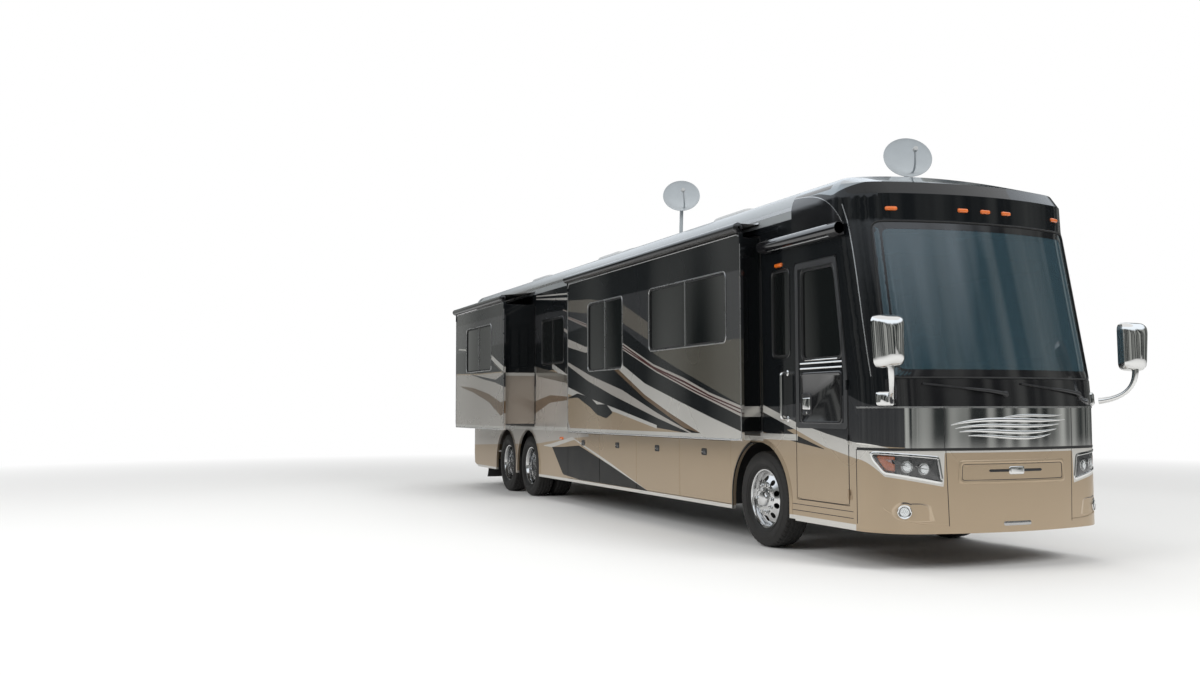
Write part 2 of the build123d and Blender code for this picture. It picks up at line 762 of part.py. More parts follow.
def make_cabin_floor():
    """The cabin floor with the folded steps of the entry well."""
    wide = HALF_WIDTH - WALL
    under = FLOOR_TOP - FLOOR_THICK
    floor = block(-wide, wide, CAP_REAR, TAIL_FRONT, under, FLOOR_TOP)
    ahead = nose_column(CAP_WALL, under, FLOOR_TOP) & block(-wide, wide, 0, CAP_REAR, under, FLOOR_TOP)
    floor += ahead
    well_front = DOOR_FRONT + 40
    well_rear = DOOR_REAR - 20
    well_in = -wide + STEP_DEPTH
    floor -= block(-wide - 60, well_in, well_front, well_rear, under - 5, FLOOR_TOP + 5)
    sheet = 8
    for index in range(3):
        tread_z = FLOOR_TOP - (index + 1) * STEP_RISE
        tread_in = well_in - index * STEP_DEPTH / 3
        tread_out = tread_in - STEP_DEPTH / 3
        top = tread_z + STEP_RISE
        if index == 0:
            top = FLOOR_TOP - FLOOR_THICK
        floor += block(tread_in, tread_in + sheet, well_front, well_rear, tread_z, top)
        floor += block(tread_out, tread_in + sheet, well_front, well_rear, tread_z - sheet, tread_z)
    return floor


def slide_travel(room):
    """How far a room moves in until its flange is 5 mm from the wall."""
    return room["out"] - SLIDE_SKIN - 5


def slide_core(room, grow):
    """The side view box of a room's body, behind its outer panel."""
    s0 = room["front"] + SLIDE_FLANGE + SLIDE_GAP - grow
    s1 = room["rear"] - SLIDE_FLANGE - SLIDE_GAP + grow
    z0 = FLOOR_TOP + SEAT
    z1 = room["top"] - SLIDE_FLANGE - SLIDE_GAP + grow
    return s0, s1, z0, z1


def slide_opening(room):
    """The hole in the wall that a room slides through."""
    s0, s1, z0, z1 = slide_core(room, SLIDE_GAP)
    hole = block(HALF_WIDTH - WALL - 5, HALF_WIDTH + 5, s0, s1, FLOOR_TOP - SEAM, z1)
    return on_side(room["side"], hole)


def make_slide(room):
    """An open-backed room: outer panel with a flange, four walls and the topper on its brackets."""
    face = HALF_WIDTH + room["out"]
    back = HALF_WIDTH - WALL - SLIDE_LAP
    s0, s1, z0, z1 = slide_core(room, 0)
    body = block(back, face - SLIDE_SKIN, s0, s1, z0, z1)
    inside = (s0 + SLIDE_WALL, s1 - SLIDE_WALL, z0 + SLIDE_WALL, z1 - SLIDE_WALL)
    body -= block(back - 5, face - SLIDE_SKIN, *inside)
    body += block(face - SLIDE_SKIN, face, room["front"], room["rear"], SLIDE_BOTTOM, room["top"])
    for w0, w1, b, t in room["windows"]:
        body -= side_window(w0, w1, b, t, face - SLIDE_SKIN - 5, face + 5, 70)
    roller_x = face + TOPPER_OFFSET
    roller_z = room["top"] + TOPPER_RADIUS + 5
    body += long_tube(roller_x, room["front"] + 10, room["rear"] - 10, roller_z, TOPPER_RADIUS)
    for station in (room["front"], room["rear"] - 20):
        body += block(face, face + 12, station, station + 20, room["top"] - 120, roller_z)
        body += block(face, roller_x, station, station + 20, roller_z - 15, roller_z + 15)
    return on_side(room["side"], body)


def make_slide_glass(room):
    """The panes of a room's windows."""
    face = HALF_WIDTH + room["out"]
    panes = [window_pane(room["side"], *window, 70, face) for window in room["windows"]]
    return Compound(children=panes)


# Entry door


def door_pivot():
    """Station and width of the entry door's upright hinge line, just outside the skin."""
    return DOOR_FRONT - SEAM / 2, HALF_WIDTH + HINGE_STAND


def door_hinge(z, moving):
    """Half of one door hinge: its leaf and barrel. The fixed half stands below and carries the pin."""
    station, x = door_pivot()
    if moving:
        low, high, leaf_end = z + SEAT, z + HINGE_HALF, station + HINGE_LEAF
    else:
        low, high, leaf_end = z - HINGE_HALF, z, station - HINGE_LEAF
    half = post(-x, station, low, high, HINGE_RADIUS)
    half += block(-HALF_WIDTH - HINGE_SHEET, -HALF_WIDTH, station, leaf_end, low, high)
    if moving:
        return half - post(-x, station, low - 5, high + 5, PIVOT_RADIUS + SEAT)
    return half + post(-x, station, low, z + HINGE_HALF, PIVOT_RADIUS)


def make_entry_door():
    """The entry door with its window hole and the moving halves of its hinges."""
    x0 = -HALF_WIDTH
    door = side_prism(door_outline(0), x0, x0 + DOOR_THICK)
    s0, s1, z0, z1, radius = DOOR_WINDOW
    outline = [(s0, z0), (s1, z0), (s1, z1), (DOOR_TOP_FRONT + 50, z1), (s0, 2250)]
    door -= side_prism(outline, x0 - 5, x0 + DOOR_THICK + 5, radius)
    for z in DOOR_HINGES:
        door += door_hinge(z, True)
    return door


def make_entry_door_glass():
    """The entry door's pane."""
    s0, s1, z0, z1, radius = DOOR_WINDOW
    outline = [(s0, z0), (s1, z0), (s1, z1), (DOOR_TOP_FRONT + 50, z1), (s0, 2250)]
    x = -HALF_WIDTH + GLASS_INSET
    return side_prism(outline, x, x + GLASS_THICK, radius)


# Wheels


def stack(profile, sides=WHEEL_SIDES):
    """A turned piece with flat sides along X: one polygon for each (x, radius), with a flat at the bottom."""
    turn = Rot(0, 90, 0) * Rot(0, 0, 180 / sides)
    outlines = [Pos(x, 0, 0) * turn * RegularPolygon(r, sides, major_radius=False) for x, r in profile]
    return loft(outlines, ruled=True)


@cache
def tyre():
    """A tyre: a ring of flats with sloped shoulders and bulged sides, seated on the rim's beads."""
    side = TYRE_HALF_WIDTH
    bulge = 0.79 * TYRE_RADIUS
    grip = BEAD_RADIUS + FLANGE + 3
    half = [(side - 22, TYRE_RADIUS), (side - 14, TYRE_RADIUS - 20), (side, bulge)]
    ring = stack([(-u, r) for u, r in reversed(half)] + half)
    for way in (-1, 1):
        ring -= stack([(way * side, bulge), (way * BEAD_HALF, grip)])
    return ring - stack([(-BEAD_HALF, BEAD_RADIUS), (BEAD_HALF, BEAD_RADIUS)])


@cache
def rim_barrel():
    """A rim's rolled barrel with its two flanges."""
    edge = BEAD_RADIUS + FLANGE
    half = [(BEAD_HALF, BEAD_RADIUS), (BEAD_HALF + 2, edge), (LIP_HALF, edge)]
    barrel = stack([(-u, r) for u, r in reversed(half)] + half)
    return barrel - stack([(-LIP_HALF, BEAD_RADIUS - 10), (LIP_HALF, BEAD_RADIUS - 10)])


def hand_holes():
    """The ring of hand holes in a disc."""
    hole = Pos(0, HAND_HOLE_RING, 0) * Box(600, 2 * HAND_HOLE_HALF, 2 * HAND_HOLE_HALF)
    return [Rot(360 * index / HAND_HOLE_COUNT, 0, 0) * hole for index in range(HAND_HOLE_COUNT)]


def spindle_bore(depth):
    """The hub's bore from inside, up to an offset outward from the rim's middle."""
    return Pos(depth - 200, 0, 0) * Cylinder(SPINDLE + SEAT, 400, rotation=(0, 90, 0))


@cache
def convex_rim():
    """A front rim: the disc stands out to a tall hub."""
    disc = stack(CONVEX_FACE) - stack(CONVEX_BACK) - hand_holes()
    return rim_barrel() + disc + stack(CONVEX_HUB, HUB_SIDES) - spindle_bore(97)


@cache
def concave_rim():
    """A rear outer rim: the dished disc seats on the inner twin's at the middle between the two."""
    disc = stack([(-DUAL_SPACING / 2, 226), (-150, 230), (-98, BEAD_RADIUS - 8), (-84, BEAD_RADIUS - 8)])
    disc = disc - stack([(-150, 172), (-132, 226), (-84, 262)]) - hand_holes()
    return rim_barrel() + disc + stack(CONCAVE_HUB, HUB_SIDES) - spindle_bore(-60)


@cache
def inner_rim():
    """The inner twin: its disc meets the outer one's back to back."""
    seat = DUAL_SPACING / 2
    disc = stack([(84, BEAD_RADIUS - 8), (98, BEAD_RADIUS - 8), (150, 230), (seat, 226)])
    disc -= stack([(80, 264), (96, 252), (seat + 5, 150)])
    return rim_barrel() + disc


def placed(piece, side, x, station):
    """A wheel piece drawn for the +X side, moved to its axle end."""
    return Pos(x * side, station - ORIGIN, TYRE_RADIUS) * on_side(side, piece)


def make_front_wheel(side):
    """A steered wheel: its rim with hub, and its tyre."""
    return placed(convex_rim(), side, WHEEL_OUT, FRONT_AXLE), placed(tyre(), side, WHEEL_OUT, FRONT_AXLE)


def make_rear_wheel(side, station, twin):
    """A rear wheel; the driven ones are twins on one hub."""
    rims = placed(concave_rim(), side, WHEEL_OUT, station)
    tyres = placed(tyre(), side, WHEEL_OUT, station)
    if twin:
        inner = WHEEL_OUT - DUAL_SPACING
        rims += placed(inner_rim(), side, inner, station)
        tyres = Compound(children=[tyres, placed(tyre(), side, inner, station)])
    return rims, tyres


def air_spring(side, station, z):
    """An air spring under a frame rail, as an eight-sided post."""
    place = Pos(side * (RAIL_IN + RAIL_OUT) / 2, station - ORIGIN, z)
    outline = place * RegularPolygon(SPRING_HALF, 8, major_radius=False)
    return extrude(outline, amount=RAIL_BOTTOM - z)


def make_knuckle(side):
    """A steering knuckle: two ears on a kingpin, joined outside the axle's eye, and the spindle."""
    z = TYRE_RADIUS
    station = FRONT_AXLE
    low_ear = (z - EYE_HALF - EAR, z - EYE_HALF - SEAT)
    high_ear = (z + EYE_HALF + SEAT, z + EYE_HALF + EAR)
    across = (station - EAR_HALF_WIDTH, station + EAR_HALF_WIDTH)
    knuckle = post(KINGPIN_OUT, station, low_ear[0], high_ear[1], KINGPIN)
    for low, high in (low_ear, high_ear):
        knuckle += post(KINGPIN_OUT, station, low, high, EYE_RADIUS)
        knuckle += block(KINGPIN_OUT, YOKE_OUT, *across, low, high)
    knuckle += block(YOKE_IN, YOKE_OUT, *across, low_ear[0], high_ear[1])
    knuckle += cross_tube(YOKE_OUT, WHEEL_OUT + 95, station, z, SPINDLE)
    arm = (KINGPIN_OUT - STEERING_ARM_HALF, KINGPIN_OUT + STEERING_ARM_HALF)
    knuckle += block(*arm, station + 40, station + STEERING_ARM_REACH, low_ear[0], low_ear[1] - 6)
    return on_side(side, knuckle)


def make_front_axle():
    """The front beam, dropped between its eyes, with the spring seats under the rails."""
    z = TYRE_RADIUS
    right_lower = [(-x, z + dz) for x, dz in BEAM_LOWER]
    left_lower = [(x, z + dz) for x, dz in reversed(BEAM_LOWER)]
    left_upper = [(x, z + dz) for x, dz in reversed(BEAM_UPPER)]
    right_upper = [(-x, z + dz) for x, dz in BEAM_UPPER]
    outline = right_lower + left_lower + left_upper + right_upper
    beam = front_prism(outline, FRONT_AXLE - BEAM_HALF, FRONT_AXLE + BEAM_HALF)
    for side in (RIGHT, LEFT):
        beam += post(side * KINGPIN_OUT, FRONT_AXLE, z - EYE_HALF, z + EYE_HALF, EYE_RADIUS)
        beam += air_spring(side, FRONT_AXLE, z - 30)
    for side in (RIGHT, LEFT):
        beam -= post(side * KINGPIN_OUT, FRONT_AXLE, z - 100, z + 100, KINGPIN + SEAT)
    return beam


def make_rear_axles():
    """The driven axle with its gear housing and the tag axle, on air springs under the rails."""
    z = TYRE_RADIUS
    axles = []
    for station, bulge in ((DRIVE_AXLE, DRIVE_HOUSING), (TAG_AXLE, TAG_HOUSING)):
        half = [(120, bulge), (220, AXLE_TUBE), (600, AXLE_TUBE)]
        housing = stack([(-u, r) for u, r in reversed(half)] + half, HUB_SIDES)
        axle = Pos(0, station - ORIGIN, z) * housing + cross_tube(-AXLE_END, AXLE_END, station, z, SPINDLE)
        for side in (-1, 1):
            axle += air_spring(side, station, z)
        axles.append(axle)
    return Compound(children=axles)


def make_engine():
    """The rear engine and gearbox as one block between the rails."""
    top = FLOOR_TOP - FLOOR_THICK - 20
    return block(-RAIL_IN, RAIL_IN, *ENGINE_ENDS, ENGINE_BOTTOM, top)


# Cab fittings


def make_dashboard():
    """The dashboard shelf and console with the steering wheel on its column."""
    dash = side_prism(DASH_SHELF, -DASH_HALF, DASH_HALF)
    dash += side_prism(DASH_FOOT, -DASH_HALF, DASH_HALF)
    doorway = block(-HALF_WIDTH, -DOORWAY_IN, 0, 1300, FLOOR_TOP - 5, 1330)
    dash &= nose_column(CAP_WALL, FLOOR_TOP, DASH_TOP) - doorway
    ring = stack([(-15, STEERING_RADIUS), (15, STEERING_RADIUS)], 16)
    ring -= stack([(-16, STEERING_RADIUS - STEERING_RIM), (16, STEERING_RADIUS - STEERING_RIM)], 16)
    wheel = Rot(0, 90, 0) * ring + Cylinder(50, 40) + Box(2 * STEERING_RADIUS - 40, 40, 20)
    wheel += Pos(0, 0, -110) * Cylinder(30, 220)
    place = Pos(STEERING_X, STEERING_STATION - ORIGIN, STEERING_HEIGHT)
    return dash + place * Rot(STEERING_TILT, 0, 0) * wheel


def make_cab_seats():
    """The two cab seats on pedestals."""
    seats = []
    for x in SEAT_MIDDLES:
        seat = side_prism(SEAT_BACK, x - SEAT_BACK_HALF, x + SEAT_BACK_HALF, SEAT_BACK_ROUND)
        for half, front, rear, bottom, top in (SEAT_PEDESTAL, SEAT_CUSHION):
            seat += block(x - half, x + half, front, rear, bottom, top)
        seats.append(seat)
    return Compound(children=seats)


def make_mirrors():
    """Upright mirror heads on arms that rise from brackets at the nose corners."""
    nose = nose_form(0)
    pieces = []
    for side in (RIGHT, LEFT):
        head = Pos(side * MIRROR_OUT, MIRROR_STATION - ORIGIN, MIRROR_HEIGHT) * Box(*MIRROR_SIZE)
        head = fillet(head.edges().filter_by(Axis.Z), MIRROR_ROUND)
        foot = block(side * MIRROR_FOOT[0], side * MIRROR_FOOT[1], *MIRROR_FOOT[2:])
        path = Polyline(*[(side * x, station - ORIGIN, z) for x, station, z in MIRROR_ARM])
        outline = Plane(origin=path @ 0, z_dir=path % 0) * RegularPolygon(MIRROR_ARM_RADIUS, 8)
        arm = sweep(outline, path=path, transition=Transition.RIGHT)
        pieces.append(head + (arm - nose) + (foot - nose))
    return Compound(children=[solid for piece in pieces for solid in piece.solids()])


def make_wipers():
    """Two parked wipers on the black panel under the windshield."""
    pieces = []
    for x0, x1 in WIPER_ENDS:
        lower = [(x0, WIPER_FOOT), (x1, WIPER_TIP)]
        upper = [(x, z + WIPER_WIDE) for x, z in reversed(lower)]
        blade = front_prism(lower + upper, -60, -30)
        pivot = long_tube(x0, -60, 120, WIPER_FOOT + WIPER_WIDE / 2, 26)
        pieces.append((blade + pivot) - nose_form(0))
    return Compound(children=[solid for piece in pieces for solid in piece.solids()])


def make_roof_units():
    """The air conditioners and vents, cut to sit on the crown."""
    crown = section_prism(0, 0, LENGTH)
    units = []
    for x, s0, s1, half, rise in ROOF_UNITS:
        foot = ROOF_SHOULDER
        top = CROWN_HEIGHT + rise
        shoulder = top - UNIT_CHAMFER
        left = [(x - half, foot), (x - half, shoulder), (x - half + UNIT_CHAMFER, top)]
        right = [(x + half - UNIT_CHAMFER, top), (x + half, shoulder), (x + half, foot)]
        units.append(front_prism(left + right, s0, s1) - crown)
    return Compound(children=units)


def make_dishes():
    """Two satellite dishes on posts, each a thin bowl with a block behind it."""
    crown = section_prism(0, 0, LENGTH)
    bowl_line = [(0, 40), (20, 140), (DISH_DEPTH, DISH_RADIUS)]
    bowl = stack(bowl_line, 16) - stack([(u + DISH_SHEET, r) for u, r in bowl_line], 16)
    pieces = []
    for x, station, rise in DISHES:
        z = CROWN_HEIGHT + rise
        place = Pos(x, station - ORIGIN, z)
        dish = place * Rot(*DISH_TURN) * Rot(0, -90, 0) * bowl
        dish += place * Rot(*DISH_TURN) * Pos(0, 0, -35) * Box(*DISH_BLOCK)
        dish += post(x, station + 20, ROOF_SHOULDER, z - 20, 30)
        pieces.append(dish - crown - nose_form(0))
    return Compound(children=[solid for piece in pieces for solid in piece.solids()])


def make_awning_cases():
    """The case of the rolled awning over the entry door."""
    middle = -HALF_WIDTH - AWNING_RADIUS
    case = long_tube(middle, *AWNING_ENDS, AWNING_HEIGHT, AWNING_RADIUS)
    heights = (AWNING_HEIGHT - AWNING_BACK_HALF, AWNING_HEIGHT + AWNING_BACK_HALF)
    return case + block(middle, -HALF_WIDTH, *AWNING_ENDS, *heights)


def make_hitch():
    """The receiver under the tail: a square tube with a cross hole, and its beam under the rails."""
    z0 = HITCH_TOP - 2 * HITCH_HALF
    rear = LENGTH - 25
    tube = block(-HITCH_HALF, HITCH_HALF, TAIL_FRONT + 30, rear, z0, HITCH_TOP)
    inner = HITCH_BORE / 2
    middle = HITCH_TOP - HITCH_HALF
    tube += block(-RAIL_OUT, RAIL_OUT, TAIL_FRONT + 30, TAIL_FRONT + 110, z0, RAIL_BOTTOM)
    tube -= block(-inner, inner, TAIL_FRONT + 150, rear + 5, middle - inner, middle + inner)
    ends = (-HITCH_HALF - 5, HITCH_HALF + 5)
    return tube - cross_tube(*ends, rear - HITCH_PIN_AHEAD, middle, HITCH_PIN_RADIUS)


def build():
    """Every node by name."""
    nodes = {
        "front_cap": make_front_cap(),
        "nose_band": make_nose_band(),
        "windshield": make_windshield(),
        "front_fascia": make_front_fascia(),
        "headlamps": make_headlamps(),
        "wall_right": make_wall(RIGHT),
        "wall_left": make_wall(LEFT),
        "side_glass": Compound(children=[window_pane(*w) for w in CAP_WINDOWS + WALL_WINDOWS]),
        "roof": make_roof(),
        "rear_cap": make_rear_cap(),
        "tail_lamps": make_tail_lamps(),
        "skirt_right": make_skirt(RIGHT),
        "skirt_left": make_skirt(LEFT),
        "basement": make_basement(),
        "cabin_floor": make_cabin_floor(),
        "chassis_frame": make_chassis_frame(),
        "front_axle": make_front_axle(),
        "rear_axles": make_rear_axles(),
        "engine": make_engine(),
        "dashboard": make_dashboard(),
        "cab_seats": make_cab_seats(),
        "mirrors": make_mirrors(),
        "wipers": make_wipers(),
        "roof_units": make_roof_units(),
        "satellite_dishes": make_dishes(),
        "awning_cases": make_awning_cases(),
        "hitch": make_hitch(),
        "entry_door": make_entry_door(),
        "entry_door_glass": make_entry_door_glass(),
        "engine_door": make_engine_door(),
    }
    for side, word in ((RIGHT, "right"), (LEFT, "left")):
        nodes[f"knuckle_{word}"] = make_knuckle(side)
        nodes[f"front_rim_{word}"], nodes[f"front_tyre_{word}"] = make_front_wheel(side)
        nodes[f"drive_rims_{word}"], nodes[f"drive_tyres_{word}"] = make_rear_wheel(side, DRIVE_AXLE, True)
        nodes[f"tag_rim_{word}"], nodes[f"tag_tyre_{word}"] = make_rear_wheel(side, TAG_AXLE, False)
        for index in range(BAY_COUNT):
            nodes[f"bay_door_{word}_{index + 1}"] = make_bay_door(side, index)
    for room in SLIDES:
        nodes[room["name"]] = make_slide(room)
        nodes[room["name"] + "_glass"] = make_slide_glass(room)
    return nodes


os.makedirs("parts", exist_ok=True)
for name, shape in build().items():
    export_step(shape, f"parts/{name}.step")
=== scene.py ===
# %% [markdown]
# A three-axle motorhome, dressed for a studio picture.
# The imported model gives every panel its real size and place. This file gives it paint, glass,
# bright metal and rubber, and adds the trim that is too fine for the construction model.
# Everything is in metres. The nose points to -Y, +Z is up and the entry door is on the -X side.

# %% Load the frame
import bpy
import json
import math
import numpy as np
from mathutils import Matrix, Vector

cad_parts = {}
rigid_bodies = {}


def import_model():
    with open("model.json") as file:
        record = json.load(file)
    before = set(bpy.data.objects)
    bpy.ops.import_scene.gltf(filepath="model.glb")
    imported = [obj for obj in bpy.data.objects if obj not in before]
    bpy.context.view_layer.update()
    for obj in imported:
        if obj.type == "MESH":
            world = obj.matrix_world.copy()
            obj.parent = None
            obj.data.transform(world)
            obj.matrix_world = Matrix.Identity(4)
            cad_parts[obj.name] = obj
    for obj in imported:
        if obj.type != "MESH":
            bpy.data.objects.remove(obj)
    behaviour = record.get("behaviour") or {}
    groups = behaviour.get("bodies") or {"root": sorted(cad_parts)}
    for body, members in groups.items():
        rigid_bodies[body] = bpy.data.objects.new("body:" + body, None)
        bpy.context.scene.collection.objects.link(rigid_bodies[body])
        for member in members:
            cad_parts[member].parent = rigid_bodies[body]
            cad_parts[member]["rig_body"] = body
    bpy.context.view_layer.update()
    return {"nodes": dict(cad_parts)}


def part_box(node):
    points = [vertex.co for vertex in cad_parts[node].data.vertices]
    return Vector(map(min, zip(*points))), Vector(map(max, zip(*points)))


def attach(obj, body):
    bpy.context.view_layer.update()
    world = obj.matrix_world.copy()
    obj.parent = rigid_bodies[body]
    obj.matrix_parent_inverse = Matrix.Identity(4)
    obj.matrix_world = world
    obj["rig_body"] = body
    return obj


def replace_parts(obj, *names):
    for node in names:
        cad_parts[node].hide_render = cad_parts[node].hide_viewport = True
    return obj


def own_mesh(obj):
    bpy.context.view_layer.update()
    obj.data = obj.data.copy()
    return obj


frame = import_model()
nodes = frame["nodes"]

# %% [markdown]
# The driving sizes are read from the frame, so the trim follows the panels. A "station" is a
# distance behind the nose, which is how coach builders measure along a body.

# %% Driving sizes
NOSE_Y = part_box("front_fascia")[0].y
TAIL_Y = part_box("rear_cap")[1].y
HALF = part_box("wall_left")[1].x
SKIRT_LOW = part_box("skirt_right")[0].z
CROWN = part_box("roof")[1].z
CAP_REAR_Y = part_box("front_cap")[1].y
RIGHT, LEFT = -1, 1
SIDES = ((RIGHT, "right"), (LEFT, "left"))
BAY_DOORS = 4


def at(station):
    """The Y of a station."""
    return NOSE_Y + station


print("length", round(TAIL_Y - NOSE_Y, 3), "half width", round(HALF, 3), "crown", round(CROWN, 3))

# %% [markdown]
# Shader maths is easier to read as Python sums. Num wraps one output of a node tree, and each
# operator adds the Math node that it stands for.

# %% Shader maths as Python


class Num:
    """A number that varies over a surface."""

    def __init__(self, tree, socket):
        self.tree = tree
        self.socket = socket

    def math(self, operation, *others):
        """One Math node of this number and the others."""
        node = self.tree.nodes.new("ShaderNodeMath")
        node.operation = operation
        for slot, value in enumerate((self, *others)):
            if isinstance(value, Num):
                self.tree.links.new(value.socket, node.inputs[slot])
            else:
                node.inputs[slot].default_value = value
        return Num(self.tree, node.outputs[0])

    def __add__(self, other):
        return self.math("ADD", other)

    def __sub__(self, other):
        return self.math("SUBTRACT", other)

    def __rsub__(self, other):
        return self.math("MULTIPLY", -1).math("ADD", other)

    def __mul__(self, other):
        return self.math("MULTIPLY", other)

    __radd__ = __add__
    __rmul__ = __mul__

    def __truediv__(self, other):
        return self.math("DIVIDE", other)

    def __abs__(self):
        return self.math("ABSOLUTE")

    def least(self, other):
        return self.math("MINIMUM", other)

    def most(self, other):
        return self.math("MAXIMUM", other)

    def clipped(self):
        """This number held between 0 and 1."""
        return self.most(0.0).least(1.0)

    def above(self, level, soft=0.003):
        """1 where this number is over the level, 0 under it, over a soft edge."""
        return ((self - level) / soft + 0.5).clipped()

    def below(self, level, soft=0.003):
        return 1.0 - self.above(level, soft)

    def between(self, low, high, soft=0.003):
        return self.above(low, soft) * self.below(high, soft)

    def curve(self, points, reach=14.0, height=4.0):
        """A line of (station, height) points as a Float Curve: straight between its points."""
        node = self.tree.nodes.new("ShaderNodeFloatCurve")
        line = node.mapping.curves[0]
        line.points[0].location = (points[0][0] / reach, points[0][1] / height)
        line.points[1].location = (points[-1][0] / reach, points[-1][1] / height)
        for x, y in points[1:-1]:
            line.points.new(x / reach, y / height)
        for point in line.points:
            point.handle_type = "VECTOR"
        node.mapping.update()
        self.tree.links.new((self / reach).socket, node.inputs["Value"])
        return Num(self.tree, node.outputs[0]) * height


class Finish:
    """A material with its Principled shader and the coordinates that its pattern reads."""

    def __init__(self, name, color, metallic=0.0, roughness=0.4, **settings):
        self.material = bpy.data.materials.new(name)
        self.material.use_nodes = True
        self.tree = self.material.node_tree
        self.shader = self.tree.nodes["Principled BSDF"]
        self.shader.inputs["Base Color"].default_value = (*color, 1.0)
        self.shader.inputs["Metallic"].default_value = metallic
        self.shader.inputs["Roughness"].default_value = roughness
        for key, value in settings.items():
            self.shader.inputs[key.replace("_", " ")].default_value = value
        self.color = color
        self.base = roughness
        self.place = self.node("ShaderNodeTexCoord").outputs["Object"]
        apart = self.node("ShaderNodeSeparateXYZ", Vector=self.place)
        self.x, self.y, self.z = (Num(self.tree, apart.outputs[i]) for i in range(3))
        self.station = self.y - NOSE_Y

    def node(self, kind, settings=None, **inputs):
        """Any other node: its settings, then what feeds its inputs."""
        node = self.tree.nodes.new(kind)
        for key, value in (settings or {}).items():
            setattr(node, key, value)
        for key, value in inputs.items():
            socket = node.inputs[key.replace("_", " ")]
            value = value.socket if isinstance(value, Num) else value
            if isinstance(value, bpy.types.NodeSocket):
                self.tree.links.new(value, socket)
            else:
                socket.default_value = value
        return node

    def feed(self, name, value):
        """Joins a varying value to an input of the shader."""
        socket = value.socket if isinstance(value, Num) else value
        self.tree.links.new(socket, self.shader.inputs[name])

    def noise(self, scale, detail=3.0, stretch=(1, 1, 1)):
        """Cloudy noise from 0 to 1; stretch squeezes it along an axis."""
        mapped = self.node("ShaderNodeMapping", Vector=self.place, Scale=stretch)
        node = self.node("ShaderNodeTexNoise", Vector=mapped.outputs[0], Scale=scale, Detail=detail)
        return Num(self.tree, node.outputs["Fac"])

    def blend(self, under, over, mask):
        """One colour over another through a mask; colours are tuples or sockets."""
        node = self.node("ShaderNodeMix", {"data_type": "RGBA"})
        for slot, value in ((6, under), (7, over)):
            if isinstance(value, tuple):
                node.inputs[slot].default_value = (*value, 1.0)
            else:
                self.tree.links.new(value, node.inputs[slot])
        self.tree.links.new(mask.socket, node.inputs[0])
        return node.outputs[2]

    def mottle(self, scale=6.0, amount=0.12, wear=0.08, fine=220.0, bump=0.02, depth=0.001):
        """Soft colour and gloss changes with a fine grain, so no surface is one flat value."""
        cloud = self.noise(scale)
        dark = tuple(c * (1.0 - amount) for c in self.color)
        light = tuple(min(1.0, c * (1.0 + amount)) for c in self.color)
        self.feed("Base Color", self.blend(dark, light, cloud))
        self.feed("Roughness", (cloud - 0.5) * wear * 2.0 + self.base)
        self.relief(self.noise(fine, 2.0), bump, depth)
        return self

    def relief(self, height, strength, distance):
        """Bumps the surface by a height."""
        bump = self.node("ShaderNodeBump", Height=height, Strength=strength, Distance=distance)
        self.feed("Normal", bump.outputs[0])
        return self


# %% [markdown]
# The paint is the hard part. On the real body the stripes are sprayed over all panels at once,
# so one paint reads the station and the height of every point and works out which stripe it is
# in. Each stripe is a band between two lines of a few (station, height) points. Because it reads
# object coordinates, the stripes run unbroken over walls, doors and slide-out rooms.

# %% Paint colours
BLACK = (0.006, 0.007, 0.008)
CHARCOAL = (0.030, 0.031, 0.033)
# The smoke tone is partly the paint's own and partly a painted reflection, lighter and warmer.
SMOKE_AND_PAINTED_SHEEN = (0.120, 0.112, 0.092)
TAUPE = (0.175, 0.160, 0.138)
SILVER = (0.52, 0.49, 0.455)
PEARL = (0.66, 0.645, 0.61)
CHAMPAGNE = (0.44, 0.345, 0.242)
BRONZE = (0.20, 0.135, 0.085)
MAROON = (0.085, 0.022, 0.022)
ROOF_SILVER = (0.25, 0.28, 0.30)

